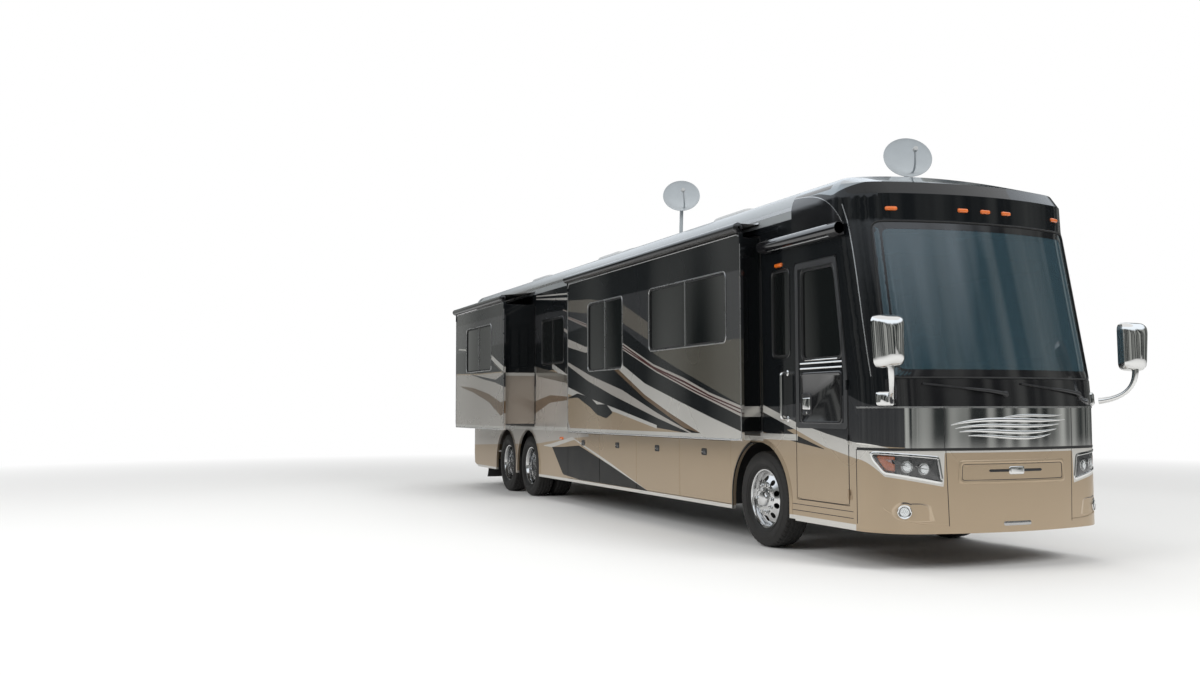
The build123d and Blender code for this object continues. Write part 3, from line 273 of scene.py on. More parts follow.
# Stripes in painting order: colour, upper line, lower line as (station, height) points
STRIPES = [
    # Pale rear quarters under the windows, from the middle of the body back
    (SILVER, [(7.3, 1.05), (7.9, 1.75), (9.2, 2.04), (11.4, 2.04), (13.7, 2.10)],
     [(7.3, 1.04), (8.4, 0.98), (9.6, 0.88), (13.7, 0.75)]),
    # Everything dark above the lowest sweep
    (BLACK, [(0.0, 4.0), (13.7, 4.0)],
     [(0.0, 1.075), (0.65, 1.12), (1.63, 1.235), (2.26, 1.19), (3.42, 1.15), (4.39, 1.21), (5.6, 1.39),
      (6.53, 1.54), (7.5, 1.70), (8.6, 2.05), (11.2, 2.06), (13.7, 2.12)]),
    # Charcoal corner of the nose under the black
    (CHARCOAL, [(0.0, 1.44), (0.45, 1.47), (0.72, 1.56), (1.4, 1.50), (2.2, 1.44), (2.27, 1.44)],
     [(0.0, 1.075), (0.65, 1.12), (1.63, 1.235), (2.2, 1.40), (2.27, 1.44)]),
    # Charcoal field round the windows of the front room
    (CHARCOAL, [(2.27, 2.88), (7.52, 2.93), (9.0, 2.98), (13.7, 2.98)],
     [(2.27, 1.52), (3.89, 1.93), (4.56, 2.14), (5.44, 2.48), (6.5, 2.62), (7.5, 2.55), (13.7, 2.45)]),
    # Smoky wedge under the first window; its lighter, warmer tone is partly a painted reflection
    (SMOKE_AND_PAINTED_SHEEN, [(2.27, 2.16), (3.2, 2.17), (4.3, 2.13), (4.5, 2.12)],
     [(2.27, 1.47), (2.46, 1.52), (3.89, 1.93), (4.5, 2.12)]),
    # Light wedge between the windows
    (TAUPE, [(4.64, 2.50), (5.44, 2.79), (6.6, 2.96), (7.5, 3.02)],
     [(4.62, 2.28), (5.44, 2.55), (6.6, 2.76), (7.5, 2.86)]),
    # Pinstripe bundle: silver ground, two dark red lines
    (SILVER, [(2.27, 1.462), (2.99, 1.61), (3.64, 1.79), (4.49, 1.98), (5.44, 2.29), (6.7, 2.62), (8.4, 2.98)],
     [(2.27, 1.35), (3.31, 1.60), (4.39, 1.875), (5.44, 2.20), (6.7, 2.57), (8.4, 2.96)]),
    (MAROON, [(2.27, 1.432), (2.99, 1.585), (3.64, 1.76), (4.49, 1.955), (5.44, 2.27), (6.7, 2.61), (8.4, 2.98)],
     [(2.27, 1.418), (2.99, 1.565), (3.64, 1.735), (4.49, 1.93), (5.44, 2.25), (6.7, 2.595), (8.4, 2.975)]),
    (MAROON, [(2.27, 1.392), (3.31, 1.632), (4.39, 1.912), (5.44, 2.232), (6.7, 2.585), (8.4, 2.97)],
     [(2.27, 1.378), (3.31, 1.614), (4.39, 1.892), (5.44, 2.215), (6.7, 2.577), (8.4, 2.966)]),
    # Broad silver band with its bronze edge
    (BRONZE, [(2.27, 1.15), (3.2, 1.20), (4.03, 1.42), (4.74, 1.64), (5.6, 1.99), (6.3, 2.22)],
     [(3.1, 1.15), (3.64, 1.22), (4.1, 1.36), (4.74, 1.56), (5.6, 1.90), (6.3, 2.17)]),
    (PEARL, [(2.27, 1.195), (2.96, 1.34), (3.67, 1.50), (4.74, 1.75), (5.49, 2.02), (6.4, 2.27)],
     [(2.27, 1.10), (3.2, 1.16), (4.03, 1.39), (4.74, 1.61), (5.6, 1.96), (6.4, 2.24)]),
    # Second silver band, black and champagne between
    (SILVER, [(3.42, 1.16), (4.39, 1.39), (5.46, 1.68), (6.6, 1.90), (7.5, 2.12)],
     [(3.42, 1.15), (4.39, 1.33), (5.8, 1.62), (6.7, 1.83), (7.5, 2.07)]),
    (PEARL, [(4.39, 1.24), (5.6, 1.43), (6.53, 1.57), (7.5, 1.76), (8.9, 2.16)],
     [(4.39, 1.20), (5.6, 1.38), (6.53, 1.50), (7.5, 1.66), (8.9, 2.08)]),
    (SILVER, [(6.3, 2.35), (6.75, 2.30), (7.5, 2.46), (8.5, 2.72)],
     [(6.3, 2.34), (6.75, 2.22), (7.5, 2.34), (8.5, 2.69)]),
    # Sweeps over the middle wall and the rear room
    (PEARL, [(7.55, 3.170), (9.7, 3.305)], [(7.55, 3.145), (9.7, 3.285)]),
    (PEARL, [(7.55, 3.090), (9.7, 3.255)], [(7.55, 3.040), (9.7, 3.240)]),
    (TAUPE, [(7.6, 1.86), (8.3, 1.96), (9.6, 2.12), (10.3, 2.24)],
     [(7.6, 1.78), (8.3, 1.84), (9.6, 1.97), (10.3, 2.20)]),
    (BRONZE, [(8.0, 1.62), (9.0, 1.66), (9.9, 1.55), (10.6, 1.70), (11.6, 1.82), (12.4, 1.86)],
     [(8.0, 1.58), (9.0, 1.54), (9.9, 1.33), (10.6, 1.56), (11.6, 1.74), (12.4, 1.84)]),
    (CHARCOAL, [(9.7, 2.02), (10.2, 1.93), (10.9, 1.99), (11.7, 2.06)],
     [(9.7, 1.80), (10.2, 1.88), (10.9, 1.95), (11.7, 2.05)]),
    (PEARL, [(9.7, 2.12), (10.4, 2.34), (11.0, 2.46), (12.6, 2.56)],
     [(9.7, 2.03), (10.4, 2.26), (11.0, 2.41), (12.6, 2.54)]),
    # Dark leaf and tail of the sweep in front of the middle seam
    (BLACK, [(5.8, 1.40), (6.0, 1.50), (6.35, 1.50), (6.6, 1.60), (7.1, 1.66), (7.5, 1.60)],
     [(5.8, 1.38), (6.0, 1.31), (6.35, 1.36), (6.6, 1.46), (7.1, 1.60), (7.5, 1.59)]),
    # Light stripe over the door, and the black dart under it
    (PEARL, [(0.60, 1.125), (0.65, 1.13), (1.10, 1.20), (1.63, 1.30), (2.27, 1.475)],
     [(0.60, 0.98), (0.65, 0.99), (1.10, 1.07), (1.63, 1.225), (2.27, 1.40)]),
    (BLACK, [(1.13, 1.055), (1.63, 1.175), (2.27, 1.36)],
     [(1.13, 1.05), (1.63, 1.105), (2.27, 1.19)]),
    # Dark triangle low on the bay doors, with its bright edge
    (PEARL, [(5.15, 0.375), (6.5, 0.70), (8.0, 1.02), (8.9, 0.90), (9.3, 0.86)],
     [(5.15, 0.35), (6.5, 0.66), (7.9, 0.98), (8.9, 0.84), (9.3, 0.85)]),
    (BLACK, [(5.25, 0.40), (6.5, 0.665), (7.7, 0.90), (8.4, 0.86), (8.9, 0.845)],
     [(5.25, 0.39), (6.5, 0.40), (7.7, 0.40), (8.4, 0.44), (8.9, 0.84)]),
    # Light belt line from the door back, and the silver roof over the dark upper sides
    (PEARL, [(1.60, 1.182), (2.27, 1.180), (2.40, 1.165), (13.7, 1.160)],
     [(1.60, 1.120), (2.27, 1.120), (2.40, 1.10), (13.7, 1.10)]),
    (ROOF_SILVER, [(0.0, 4.0), (13.7, 4.0)],
     [(0.0, 3.56), (0.6, 3.56), (0.93, 3.44), (1.18, 3.50), (1.66, 3.53), (1.75, 3.44), (13.7, 3.44)]),
    # Light sill along the whole side
    (PEARL, [(0.62, SKIRT_LOW + 0.040), (13.7, SKIRT_LOW + 0.040)], [(0.62, 0.2), (13.7, 0.2)]),
]

# %% The striped paint


# The light stripe goes on round the headlamps and along the top of the nose: (half width, height) points
NOSE_LIGHT_TOP = [(0.0, 1.08), (1.15, 1.08), (HALF, 1.125)]
NOSE_LIGHT_LOW = [(0.0, 1.042), (0.722, 1.042), (0.734, 0.745), (1.19, 0.832), (1.25, 0.925), (HALF, 0.98)]

# Slide-out rooms: body, side, how far the outer panel stands out, end stations, top
ROOMS = [
    ("slide_right_front", RIGHT, 0.250, 2.270, 7.510, 3.270),
    ("slide_right_rear", RIGHT, 0.545, 9.720, 12.800, 3.200),
    ("slide_left", LEFT, 0.545, 2.900, 12.800, 3.200),
]
# Their end walls are black down to a light band, and another tone under it: band heights, tone
ROOM_ENDS = [(1.35, 1.46, BLACK), (1.985, 2.035, (0.40, 0.35, 0.30)), (1.985, 2.035, (0.40, 0.35, 0.30))]
LINING_TONE = (0.085, 0.078, 0.070)
DUST_TONE = (0.50, 0.44, 0.36)
# How metallic a tone is: dark ones hardly show their flake
DARK_METAL, LIGHT_METAL = 0.04, 0.6
ROOM_FRONT, LEFT_ROOM_FRONT = 2.27, 2.90


def coach_paint(name, stripes=STRIPES):
    """Two-stage body paint: stripes by station and height, metal flake, and a clear coat with a trace of ripple."""
    paint = Finish(name, CHAMPAGNE, roughness=0.30, Coat_Weight=1.0, Coat_Roughness=0.02, Coat_IOR=1.38,
                   Specular_IOR_Level=0.04)
    color = CHAMPAGNE
    metal = None
    left_front = paint.x.above(0.0) * paint.station.below(LEFT_ROOM_FRONT)
    for tone, upper, lower in stripes:
        first = max(upper[0][0], lower[0][0])
        last = min(upper[-1][0], lower[-1][0])
        mask = paint.z.below(paint.station.curve(upper)) * paint.z.above(paint.station.curve(lower))
        mask = mask * (paint.station.between(first, last) if first > 0 else paint.station.below(last))
        if first == ROOM_FRONT:
            mask = mask * (1.0 - left_front)
        color = paint.blend(color, tone, mask)
        shine = DARK_METAL if max(tone) < 0.05 else LIGHT_METAL
        if metal is None:
            metal = mask * (shine - LIGHT_METAL) + LIGHT_METAL
        else:
            metal = metal * (1.0 - mask) + mask * shine
    flake = paint.noise(900.0, 1.0)
    width = abs(paint.x)
    low, top = (width.curve(line, reach=1.4, height=2.0) for line in (NOSE_LIGHT_LOW, NOSE_LIGHT_TOP))
    light = paint.z.above(low) * paint.z.below(top) * paint.station.below(0.60)
    color = paint.blend(color, PEARL, light)
    inside = width.below(HALF - 0.03) * paint.z.between(1.15, 3.56) * paint.station.between(1.0, 13.2)
    for (_, side, out, s0, s1, top), (low, high, under) in zip(ROOMS, ROOM_ENDS):
        depth = paint.x * side
        end = depth.between(HALF + 0.006, HALF + out - 0.034) * paint.station.between(s0 + 0.02, s1 - 0.02)
        tones = paint.blend(under, PEARL, paint.z.between(low, high))
        tones = paint.blend(tones, BLACK, paint.z.above(high))
        color = paint.blend(color, tones, end)
        metal = metal * (1.0 - end) + end * (LIGHT_METAL - paint.z.above(high) * (LIGHT_METAL - DARK_METAL))
        room = depth.between(HALF - 0.031, HALF + out - 0.015) * paint.station.between(s0 + 0.06, s1 - 0.06)
        inside = inside.most(room * paint.z.between(1.15, top - 0.06))
    color = paint.blend(color, LINING_TONE, inside)
    metal = metal * (1.0 - inside)
    cloud = paint.noise(0.8, 2.0)
    dust = paint.z.below(0.9, 0.9) * 0.05
    shade = paint.blend(color, DUST_TONE, dust * paint.noise(3.0, 4.0))
    bright = paint.node("ShaderNodeHueSaturation", Color=shade, Value=(flake - 0.5) * 0.05 + 1.0)
    paint.feed("Base Color", bright.outputs[0])
    paint.feed("Metallic", metal)
    paint.feed("Coat Weight", 1.0 - paint.z.below(1.02, 0.12) * 0.85)
    paint.feed("Roughness", (cloud - 0.5) * 0.08 + (dust * 0.6 + 0.27))
    paint.relief(paint.noise(2.2, 0.0), 0.03, 0.0006)
    return paint.material


COACH_PAINT = coach_paint("coach_paint")
print("stripes", len(STRIPES), "paint nodes", len(COACH_PAINT.node_tree.nodes))

# %% [markdown]
# The other finishes are plainer: each has a tone, a gloss, a slow cloud of change and a fine
# grain at its own scale.

# %% Plain finishes
GLOSS_BLACK = Finish("gloss_black_trim", (0.008, 0.008, 0.009), roughness=0.12, Coat_Weight=0.6).mottle(5, 0.1, 0.05)
SATIN_BLACK = Finish("satin_black_plastic", (0.015, 0.015, 0.016), roughness=0.45).mottle(12, 0.2, 0.10, 500, 0.15)
CHROME = Finish("chrome", (0.74, 0.74, 0.73), 1.0, 0.07).mottle(3, 0.03, 0.03, 60, 0.02)
POLISHED = Finish("polished_aluminium", (0.66, 0.66, 0.66), 1.0, 0.14).mottle(9, 0.06, 0.06, 300, 0.05)
ALLOY_TRIM = Finish("anodised_trim", (0.50, 0.50, 0.50), 1.0, 0.28).mottle(4, 0.06, 0.06, 400, 0.05)
RUBBER = Finish("tyre_rubber", (0.017, 0.016, 0.015), roughness=0.68).mottle(7, 0.25, 0.12, 320, 0.35, 0.002)
SEAL = Finish("rubber_seal", (0.010, 0.010, 0.010), roughness=0.55).mottle(15, 0.2, 0.1, 500, 0.2)
UNDERBODY = Finish("underbody_black", (0.020, 0.020, 0.021), roughness=0.6).mottle(3, 0.3, 0.15, 90, 0.2)
IRON = Finish("cast_iron", (0.035, 0.034, 0.034), 0.4, 0.6).mottle(8, 0.3, 0.15, 160, 0.4, 0.002)
ROOF_SKIN = Finish("roof_membrane", (0.30, 0.32, 0.33), 0.2, 0.34, Coat_Weight=0.5).mottle(1.5, 0.10, 0.06)
UNIT_WHITE = Finish("roof_unit_shell", (0.42, 0.43, 0.43), roughness=0.42).mottle(6, 0.08, 0.08, 300, 0.08)
DISH_GREY = Finish("dish_enamel", (0.34, 0.37, 0.39), roughness=0.40).mottle(8, 0.08, 0.08)
AMBER = Finish("amber_lens", (0.62, 0.13, 0.012), roughness=0.15, Coat_Weight=0.8).mottle(40, 0.2, 0.05)
RED_LENS = Finish("red_lens", (0.30, 0.006, 0.008), roughness=0.15, Coat_Weight=0.8).mottle(40, 0.2, 0.05)
WOOD_FLOOR = Finish("plank_floor", (0.16, 0.095, 0.05), roughness=0.35).mottle(4, 0.3, 0.1)
LEATHER = Finish("seat_leather", (0.22, 0.165, 0.12), roughness=0.5).mottle(9, 0.12, 0.08, 260, 0.35, 0.002)


def tinted_glass(name, tint, clear):
    """Tinted glass: dark and glossy, with a share of it see-through."""
    glass = Finish(name, tint, roughness=0.03, Coat_Weight=0.5, IOR=1.52)
    glass.shader.inputs["Transmission Weight"].default_value = clear
    haze = glass.noise(1.2, 3.0)
    glass.feed("Roughness", haze * 0.02 + 0.012)
    glass.relief(glass.noise(1.6, 0.0), 0.01, 0.001)
    return glass.material


PRIVACY_GLASS = tinted_glass("privacy_glass", (0.006, 0.007, 0.007), 0.05)
# The windshield's teal tint is partly the glass's own tint and partly a painted reflection of the blue sky.
SCREEN_GLASS = tinted_glass("windshield_glass", (0.13, 0.24, 0.30), 0.86)
CLEAR_LENS = tinted_glass("clear_lens", (0.93, 0.95, 0.96), 0.97)
print("finishes", len(bpy.data.materials))

# %% [markdown]
# The model's nodes are triangles with hard edges. A merged copy of a painted panel gets a small
# bevel and smooth shading, so its edges catch light as rolled edges do, and it stands for its node.

# %% Panels from their nodes


def soften(node, material, width=0.004, segments=2):
    """A merged copy of a node with rounded edges, in place of the node."""
    source = nodes[node]
    mesh = source.data.copy()
    obj = bpy.data.objects.new(node + "_skin", mesh)
    bpy.context.scene.collection.objects.link(obj)
    mesh.materials.clear()
    mesh.materials.append(material)
    weld = obj.modifiers.new("weld", "WELD")
    weld.merge_threshold = 0.00005
    flat = obj.modifiers.new("flat", "DECIMATE")
    flat.decimate_type = "DISSOLVE"
    flat.angle_limit = math.radians(0.3)
    bevel = obj.modifiers.new("bevel", "BEVEL")
    bevel.width = width
    bevel.segments = segments
    bevel.limit_method = "ANGLE"
    bevel.angle_limit = math.radians(32)
    bevel.use_clamp_overlap = True
    even = obj.modifiers.new("even", "WEIGHTED_NORMAL")
    even.keep_sharp = True
    mesh.shade_smooth()
    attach(obj, source["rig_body"])
    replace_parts(obj, node)
    return obj


def finish_node(node, material):
    """Gives a node that stays its material."""
    mesh = nodes[node].data
    mesh.materials.clear()
    mesh.materials.append(material)


painted = ["front_cap", "front_fascia", "wall_right", "wall_left", "rear_cap", "skirt_right", "skirt_left",
           "entry_door", "engine_door", "slide_right_front", "slide_right_rear", "slide_left"]
painted += [f"bay_door_{word}_{number + 1}" for _, word in SIDES for number in range(BAY_DOORS)]
for node in painted:
    soften(node, COACH_PAINT)
soften("roof", ROOF_SKIN.material)
soften("nose_band", CHROME.material)

PLAIN = [
    (SCREEN_GLASS, "windshield"),
    (PRIVACY_GLASS, "side_glass", "entry_door_glass", "slide_right_front_glass", "slide_right_rear_glass",
     "slide_left_glass"),
    (CLEAR_LENS, "headlamps"),
    (RED_LENS.material, "tail_lamps"),
    (WOOD_FLOOR.material, "cabin_floor"),
    (UNDERBODY.material, "basement", "chassis_frame", "hitch"),
    (IRON.material, "front_axle", "rear_axles", "knuckle_right", "knuckle_left", "engine"),
    (SATIN_BLACK.material, "dashboard", "wipers"),
    (LEATHER.material, "cab_seats"),
    (CHROME.material, "mirrors"),
    (DISH_GREY.material, "satellite_dishes"),
    (GLOSS_BLACK.material, "awning_cases"),
]
for material, *covered in PLAIN:
    for node in covered:
        finish_node(node, material)
for word in ("right", "left"):
    for rim, tyre in (("front_rim", "front_tyre"), ("drive_rims", "drive_tyres"), ("tag_rim", "tag_tyre")):
        finish_node(f"{rim}_{word}", POLISHED.material)
        finish_node(f"{tyre}_{word}", RUBBER.material)

# %% [markdown]
# The trim is made of surfaces worked out with numpy. Three tools cover nearly all of it: rings
# joined into a skin, a cross-section carried along a path, and rounded outlines for both.

# %% Skins, paths and outlines
BODY_CORE = np.array([0.0, 0.0, 1.6])


def put_mesh(name, points, faces, finish, body="coach", core=None, sharp=40.0):
    """A mesh piece that rides on a body. Its faces are turned to look away from its core."""
    points = np.asarray(points, dtype=float).reshape(-1, 3)
    mesh = bpy.data.meshes.new(name)
    mesh.from_pydata(points.tolist(), [], [list(map(int, face)) for face in faces])
    mesh.update()
    core = points.mean(axis=0) if core is None else np.asarray(core)
    count = len(mesh.polygons)
    centres, normals, areas = np.empty(count * 3), np.empty(count * 3), np.empty(count)
    mesh.polygons.foreach_get("center", centres)
    mesh.polygons.foreach_get("normal", normals)
    mesh.polygons.foreach_get("area", areas)
    facing = ((centres.reshape(-1, 3) - core) * normals.reshape(-1, 3)).sum(axis=1)
    if (facing * areas).sum() < 0:
        mesh.flip_normals()
    mesh.shade_smooth()
    mesh.set_sharp_from_angle(angle=math.radians(sharp))
    mesh.materials.append(getattr(finish, "material", finish))
    obj = bpy.data.objects.new(name, mesh)
    bpy.context.scene.collection.objects.link(obj)
    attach(obj, body)
    return obj


def grid_faces(rows, columns, wrap):
    """Four-sided faces between neighbouring rows; wrap joins the last column to the first."""
    last = columns if wrap else columns - 1
    r, c = np.meshgrid(np.arange(rows - 1), np.arange(last), indexing="ij")
    d = (c + 1) % columns
    return np.stack([r * columns + c, r * columns + d, (r + 1) * columns + d, (r + 1) * columns + c], -1).reshape(-1, 4)


def skin(rings, wrap=True, ends=True):
    """Points and faces of a skin over rings of equal count; ends closes both ends, or the "last" one."""
    rings = np.asarray(rings, dtype=float)
    rows, columns = rings.shape[:2]
    faces = grid_faces(rows, columns, wrap).tolist()
    if ends and ends != "last":
        faces.append(list(range(columns))[::-1])
    if ends:
        faces.append([(rows - 1) * columns + i for i in range(columns)])
    return rings.reshape(-1, 3), faces


def joined(parts):
    """Several (points, faces) skins as one."""
    points, faces, start = [], [], 0
    for part_points, part_faces in parts:
        points.append(part_points)
        faces.extend([[i + start for i in face] for face in part_faces])
        start += len(part_points)
    return np.concatenate(points), faces


def rounded(corners, radius, steps=6):
    """A flat outline with its corners rounded: each corner becomes a parabola between two points on its sides."""
    corners = np.asarray(corners, dtype=float)
    radius = np.broadcast_to(radius, len(corners))
    line = []
    for i, corner in enumerate(corners):
        ahead, behind = corners[(i + 1) % len(corners)] - corner, corners[i - 1] - corner
        a, b = ahead / np.linalg.norm(ahead), behind / np.linalg.norm(behind)
        half = math.acos(max(-1.0, min(1.0, float(a @ b)))) / 2
        cut = min(radius[i] / math.tan(half), 0.48 * np.linalg.norm(ahead), 0.48 * np.linalg.norm(behind))
        t = np.linspace(0, 1, steps)[:, None]
        line.append((1 - t) ** 2 * (corner + b * cut) + 2 * t * (1 - t) * corner + t**2 * (corner + a * cut))
    return np.concatenate(line)


def shrunk(corners, inset):
    """A convex outline moved inwards: each side slides along its inner normal and they meet again."""
    corners = np.asarray(corners, dtype=float)
    ahead = np.roll(corners, -1, axis=0) - corners
    ahead /= np.linalg.norm(ahead, axis=1)[:, None]
    inner = np.stack([-ahead[:, 1], ahead[:, 0]], -1)
    middle = corners.mean(axis=0)
    inner *= np.sign(((middle - corners) * inner).sum(axis=1))[:, None]
    behind = np.roll(inner, 1, axis=0)
    scale = 1.0 + (inner * behind).sum(axis=1)
    return corners + (inner + behind) * (inset / scale)[:, None]


def oblong(a0, b0, a1, b1):
    """The corners of an upright rectangle from its low corner to its high one."""
    return [(a0, b0), (a1, b0), (a1, b1), (a0, b1)]


def flat_bar(half, low, high):
    """The cross-section of a flat bar: half its width, its underside and its top."""
    return [(-half, low), (-half, high), (half, high), (half, low)]


def scaled(profile, across, out=1.0):
    """A cross-section made wider and higher by two factors."""
    return [(a * across, b * out) for a, b in profile]


def circle(radius, sides):
    """A circle's (across, out) points."""
    turn = np.linspace(0, 2 * math.pi, sides, endpoint=False)
    return np.stack([np.cos(turn), np.sin(turn)], -1) * radius


def carried(path, profile, outward, loop=False):
    """A cross-section of (across, out) points carried along a path; outward is a vector for each point.
    Across is the path's direction crossed with outward."""
    path = np.asarray(path, dtype=float)
    outward = np.broadcast_to(np.asarray(outward, dtype=float), path.shape)
    if loop:
        ahead = np.roll(path, -1, axis=0) - np.roll(path, 1, axis=0)
    else:
        ahead = np.gradient(path, axis=0)
    ahead = ahead / np.linalg.norm(ahead, axis=1)[:, None]
    across = np.cross(ahead, outward)
    across /= np.linalg.norm(across, axis=1)[:, None]
    out = np.cross(across, ahead)
    profile = np.asarray(profile, dtype=float)
    rings = path[:, None] + profile[None, :, :1] * across[:, None] + profile[None, :, 1:] * out[:, None]
    if loop:
        return skin(np.concatenate([rings, rings[:1]]), ends=False)
    return skin(rings)


def turned(profile, centre, axis, sides=32, up=(0.0, 0.0, 1.0)):
    """A profile of (along, radius) points turned about an axis through a centre."""
    axis = np.asarray(axis, dtype=float) / np.linalg.norm(axis)
    first = np.cross(axis, up)
    first /= np.linalg.norm(first)
    second = np.cross(axis, first)
    profile = np.asarray(profile, dtype=float)
    ring = circle(1.0, sides)
    spokes = ring[:, :1] * first + ring[:, 1:] * second
    rings = np.asarray(centre) + profile[:, None, :1] * axis + profile[:, None, 1:] * spokes[None]
    return skin(rings)


# %% [markdown]
# The nose is a bow with two tighter corners that leans back above the bright band. Trim has to
# lie on it exactly, so one function gives the skin's point for a distance round the nose from the
# middle and a height. A second one starts from the width that a front view shows.

# %% The skin of the nose
NOSE_BOW = 3.27
NOSE_CORNER = 0.48
LEAN_HEIGHTS = [0.0, 1.44, 1.69, CROWN - 0.53, CROWN - 0.29, CROWN - 0.165, CROWN + 0.02]
LEAN_BACK = [0.0, 0.0, 0.020, 0.330, 0.345, 0.450, 1.040]


def nose_skin(along, z, out=0.0):
    """The point at a distance round the nose: on the bow, then on the corner's arc, then along the side."""
    along, z, out = np.broadcast_arrays(np.asarray(along, dtype=float), z, out)
    bow, corner, corner_x = NOSE_BOW + out, NOSE_CORNER + out, HALF - NOSE_CORNER
    tilt = np.arcsin(corner_x / (bow - corner))
    bow_length, corner_length = NOSE_BOW * tilt, NOSE_CORNER * (math.pi / 2 - tilt)
    reach = np.abs(along)
    turn = np.minimum(reach, bow_length) / NOSE_BOW
    swing = tilt + np.clip(reach - bow_length, 0, corner_length) / NOSE_CORNER
    corner_y = bow - np.sqrt((bow - corner) ** 2 - corner_x**2)
    on_corner = reach > bow_length
    x = np.where(on_corner, corner_x + corner * np.sin(swing), bow * np.sin(turn))
    y = np.where(on_corner, corner_y - corner * np.cos(swing), bow * (1 - np.cos(turn)))
    y = y + np.maximum(reach - bow_length - corner_length, 0) - out + np.interp(z, LEAN_HEIGHTS, LEAN_BACK)
    return np.stack([x * np.sign(along), at(y), z + 0.0 * x], -1)


ROUND = np.linspace(-1.9, 1.9, 1521)
ROUND_X = nose_skin(ROUND, 1.0)[:, 0]


def round_of(x):
    """The distance round the nose at which the skin has a width x."""
    return np.interp(x, ROUND_X, ROUND)


def on_nose(outline, out=0.0):
    """A front view outline of (x, height) points laid on the nose."""
    outline = np.asarray(outline, dtype=float)
    return nose_skin(round_of(outline[..., 0]), outline[..., 1], out)


def nose_normal(points):
    """The skin's outward direction at points on the nose: the cross of its two slopes."""
    along, z = round_of(points[..., 0]), points[..., 2]
    side = nose_skin(along + 0.01, z) - nose_skin(along - 0.01, z)
    rise = nose_skin(along, z + 0.01) - nose_skin(along, z - 0.01)
    normal = np.cross(side, rise)
    return normal / np.linalg.norm(normal, axis=-1)[..., None]


print("nose corner begins at", round(float(round_of(0.94)), 3), "m round the bow")

# %% [markdown]
# The windshield is one curved pane bonded from inside. Round its edge the glass has a baked black
# band, which hides the glue, and a rubber lip closes the gap to the body. The band is a ring
# laid on the glass and the lip is a round section carried round the same outline.

# %% Windshield band and lip
SCREEN = [(-1.150, 1.705), (1.150, 1.705), (1.120, CROWN - 0.55), (-1.120, CROWN - 0.55)]


def dense(outline, step=0.05):
    """An outline with points added so that no run is longer than a step, so it can follow a curve."""
    closed = np.concatenate([outline, outline[:1]])
    runs = np.linalg.norm(np.diff(closed, axis=0), axis=1)
    places = np.concatenate([[0], np.cumsum(runs)])
    even = np.linspace(0, places[-1], int(places[-1] / step), endpoint=False)
    return np.stack([np.interp(even, places, closed[:, i]) for i in range(closed.shape[1])], -1)


def nested(corners, radius, insets, step=0.05):
    """Matching outlines, point for point: the edge moved inwards by each inset."""
    lines = [rounded(shrunk(corners, inset), max(radius - inset * 0.3, 0.01), 8) for inset in insets]
    closed = dense(np.concatenate(lines, axis=1), step * math.sqrt(len(lines)))
    return [closed[:, 2 * i : 2 * i + 2] for i in range(len(lines))]


def stepped(place, corners, radius, steps, spacing):
    """Rings of a pressed shape: for each (inset, out) step the outline moved inwards and laid that far out."""
    insets, outs = zip(*steps)
    return [place(line, out) for line, out in zip(nested(corners, radius, insets, spacing), outs)]


edge = nested(SCREEN, 0.08, (0.0, 0.075), 0.03)[0]
band = stepped(on_nose, SCREEN, 0.08, [(0.0, -0.0105), (0.075, -0.0105)], 0.03)
put_mesh("windshield_band", *skin(band, ends=False), GLOSS_BLACK, core=BODY_CORE)
lip_path = on_nose(edge, -0.004)
put_mesh("windshield_lip", *carried(lip_path, circle(0.009, 8), nose_normal(lip_path), loop=True), SEAL)
print("windshield outline points", len(edge))

# %% [markdown]
# The panel under the windshield is gloss black and carries the wipers. Five amber lamps sit over
# the glass. Each lamp is a low lens with rounded ends, made of rings that shrink as they rise.

# %% Wiper panel and lamps over the windshield
panel_u = np.linspace(-1, 1, 61)
panel_v = np.linspace(0, 1, 7)
uu, vv = np.meshgrid(panel_u, panel_v)
panel_grid = on_nose(np.stack([uu * (1.19 - 0.02 * vv), 1.446 + 0.246 * vv], -1), 0.0025)
put_mesh("wiper_panel", *skin(panel_grid, wrap=False, ends=False), GLOSS_BLACK, core=BODY_CORE)


def lens(place_points, corners, radius, height, steps=4):
    """A raised lens: rings that shrink inwards while they rise along a quarter circle."""
    rings = []
    for t in np.linspace(0, 1, steps + 1):
        inset = radius * 0.9 * (1 - math.cos(t * math.pi / 2))
        flat = rounded(shrunk(corners, inset), max(radius - inset, 0.002), 4)
        rings.append(place_points(flat, height * math.sin(t * math.pi / 2)))
    return skin(rings)


markers = []
for x in (-0.95, -0.25, 0.0, 0.25, 0.95):
    markers.append(lens(on_nose, oblong(x - 0.055, 3.245, x + 0.055, 3.285), 0.018, 0.018))
put_mesh("front_marker_lamps", *joined(markers), AMBER, core=None)
print("lamps over the windshield", len(markers))

# %% [markdown]
# The bright band is pressed with flowing ribs. They are a generic set of sweeps: each rib follows
# a curve on the band, widest in its middle and fine at both ends, and is half round.

# %% Relief on the bright band
RIBS = [
    ((-0.66, 1.285), (-0.30, 1.375), (0.10, 1.300), (0.62, 1.330), 0.020),
    ((-0.62, 1.255), (-0.26, 1.320), (0.06, 1.240), (0.54, 1.290), 0.016),
    ((-0.58, 1.225), (-0.24, 1.262), (0.02, 1.175), (0.50, 1.245), 0.018),
    ((-0.50, 1.190), (-0.20, 1.205), (0.10, 1.120), (0.42, 1.200), 0.014),
    ((-0.20, 1.330), (0.05, 1.400), (0.32, 1.350), (0.58, 1.372), 0.012),
]


def bezier(a, b, c, d, count):
    """A cubic curve through a towards d, drawn by b and c."""
    t = np.linspace(0, 1, count)[:, None]
    a, b, c, d = (np.asarray(p, dtype=float) for p in (a, b, c, d))
    return (1 - t) ** 3 * a + 3 * t * (1 - t) ** 2 * b + 3 * t**2 * (1 - t) * c + t**3 * d


